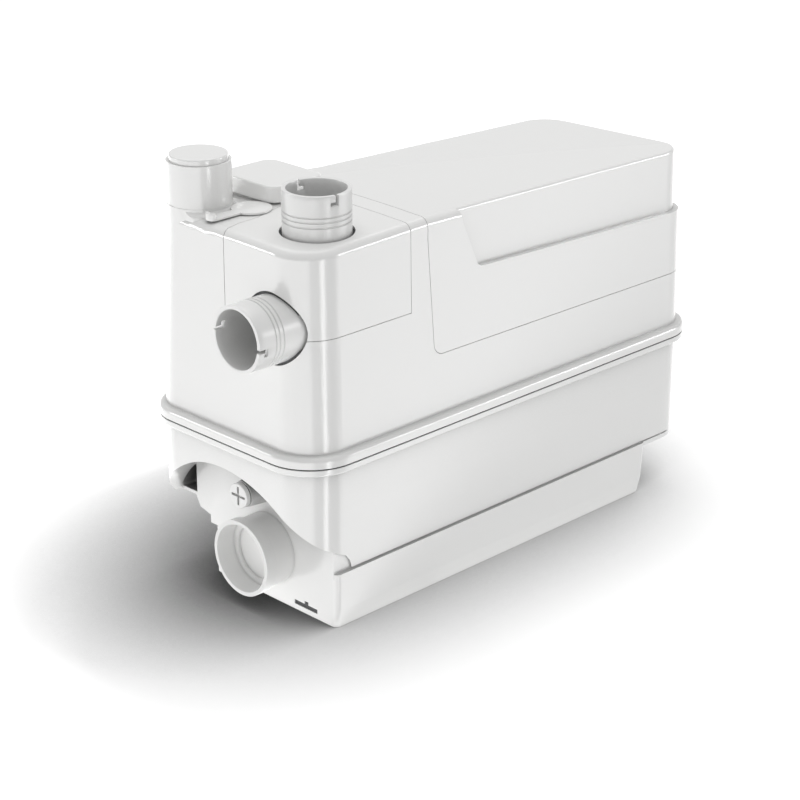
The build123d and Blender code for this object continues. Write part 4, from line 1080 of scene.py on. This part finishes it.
class STATION_OT_stage(bpy.types.Operator):
    """Floor, studio light and the camera of the photograph"""

    bl_idname = "station.stage"
    bl_label = "Stage"

    def execute(self, context):
        sizes = context.scene.station_stage
        scene = context.scene
        mesh = bmesh.new()
        bmesh.ops.create_grid(mesh, x_segments=1, y_segments=1, size=sizes.floor_size / 2)
        bmesh.ops.translate(mesh, verts=mesh.verts, vec=(0, 0, cad_box[0][2] - FLOOR_GAP))
        shape = bpy.data.meshes.new("floor")
        mesh.to_mesh(shape)
        mesh.free()
        floor = bpy.data.objects.new("floor", shape)
        scene.collection.objects.link(floor)
        floor.data.materials.append(seamless_paper(sizes))
        scene.world = studio_sky(sizes.sky)

        soft_box("overhead_box", (0.25, 0.35, 1.7), 1.5, 1.5, sizes.overhead)
        soft_box("left_box", (-1.6, 0.25, 0.35), 0.6, 0.5, sizes.left_box)
        # These two only draw a bright line on the rounded top edges, so the walls get no light from them.
        # Their power is given for this width in metres.
        unit = 0.3
        for name, spot, width in (
            ("right_edge_box", (1.05, -1.0, 0.42), 0.7),
            ("back_edge_box", (-1.1, 1.0, 0.42), 0.3),
        ):
            made = soft_box(name, spot, width, 0.15, sizes.edge_boxes * width / unit)
            made.visible_diffuse = False

        scene.view_settings.view_transform = "Standard"
        lens = bpy.data.cameras.new("camera")
        lens.sensor_fit = "HORIZONTAL"
        lens.sensor_width = 36.0
        lens.lens = sizes.lens
        lens.clip_start = 0.05
        lens.clip_end = 100.0
        camera = bpy.data.objects.new("camera", lens)
        camera.location = CAMERA_SPOT
        camera.rotation_euler = (math.radians(90 - CAMERA_DOWN), 0.0, math.radians(CAMERA_TURN))
        scene.collection.objects.link(camera)
        scene.camera = camera
        return {"FINISHED"}


# Registration and the run


GROUPS = {
    "station_case": StationCase,
    "station_inlets": StationInlets,
    "station_inside": StationInside,
    "station_stage": StationStage,
}
MAKERS = (
    STATION_OT_case,
    STATION_OT_inlets,
    STATION_OT_rubber,
    STATION_OT_motor,
    STATION_OT_pump,
    STATION_OT_electrics,
    STATION_OT_filter,
    STATION_OT_stage,
)


class STATION_PT_panel(bpy.types.Panel):
    """Sizes, colours and makers of the station's looks"""

    bl_idname = "STATION_PT_panel"
    bl_label = "Lifting station"
    bl_space_type = "VIEW_3D"
    bl_region_type = "UI"
    bl_category = "Station"

    def draw(self, context):
        for group in GROUPS:
            box = self.layout.box()
            box.label(text=group.split("_")[1].title())
            values = getattr(context.scene, group)
            for name in values.bl_rna.properties.keys():
                if name not in ("rna_type", "name"):
                    box.prop(values, name)
        for maker in MAKERS:
            self.layout.operator(maker.bl_idname)


def register():
    """Registers the groups, operators and panel, and ties the groups to the scene."""
    for made in (*GROUPS.values(), *MAKERS, STATION_PT_panel):
        bpy.utils.register_class(made)
    for name, group in GROUPS.items():
        setattr(bpy.types.Scene, name, PointerProperty(type=group))


def unregister():
    """Takes back what register has done."""
    for name in GROUPS:
        delattr(bpy.types.Scene, name)
    for made in reversed((*GROUPS.values(), *MAKERS, STATION_PT_panel)):
        bpy.utils.unregister_class(made)


def main():
    """Makes every piece and the stage."""
    register()
    for maker in MAKERS:
        family, action = maker.bl_idname.split(".")
        getattr(getattr(bpy.ops, family), action)()


if __name__ == "__main__":
    main()
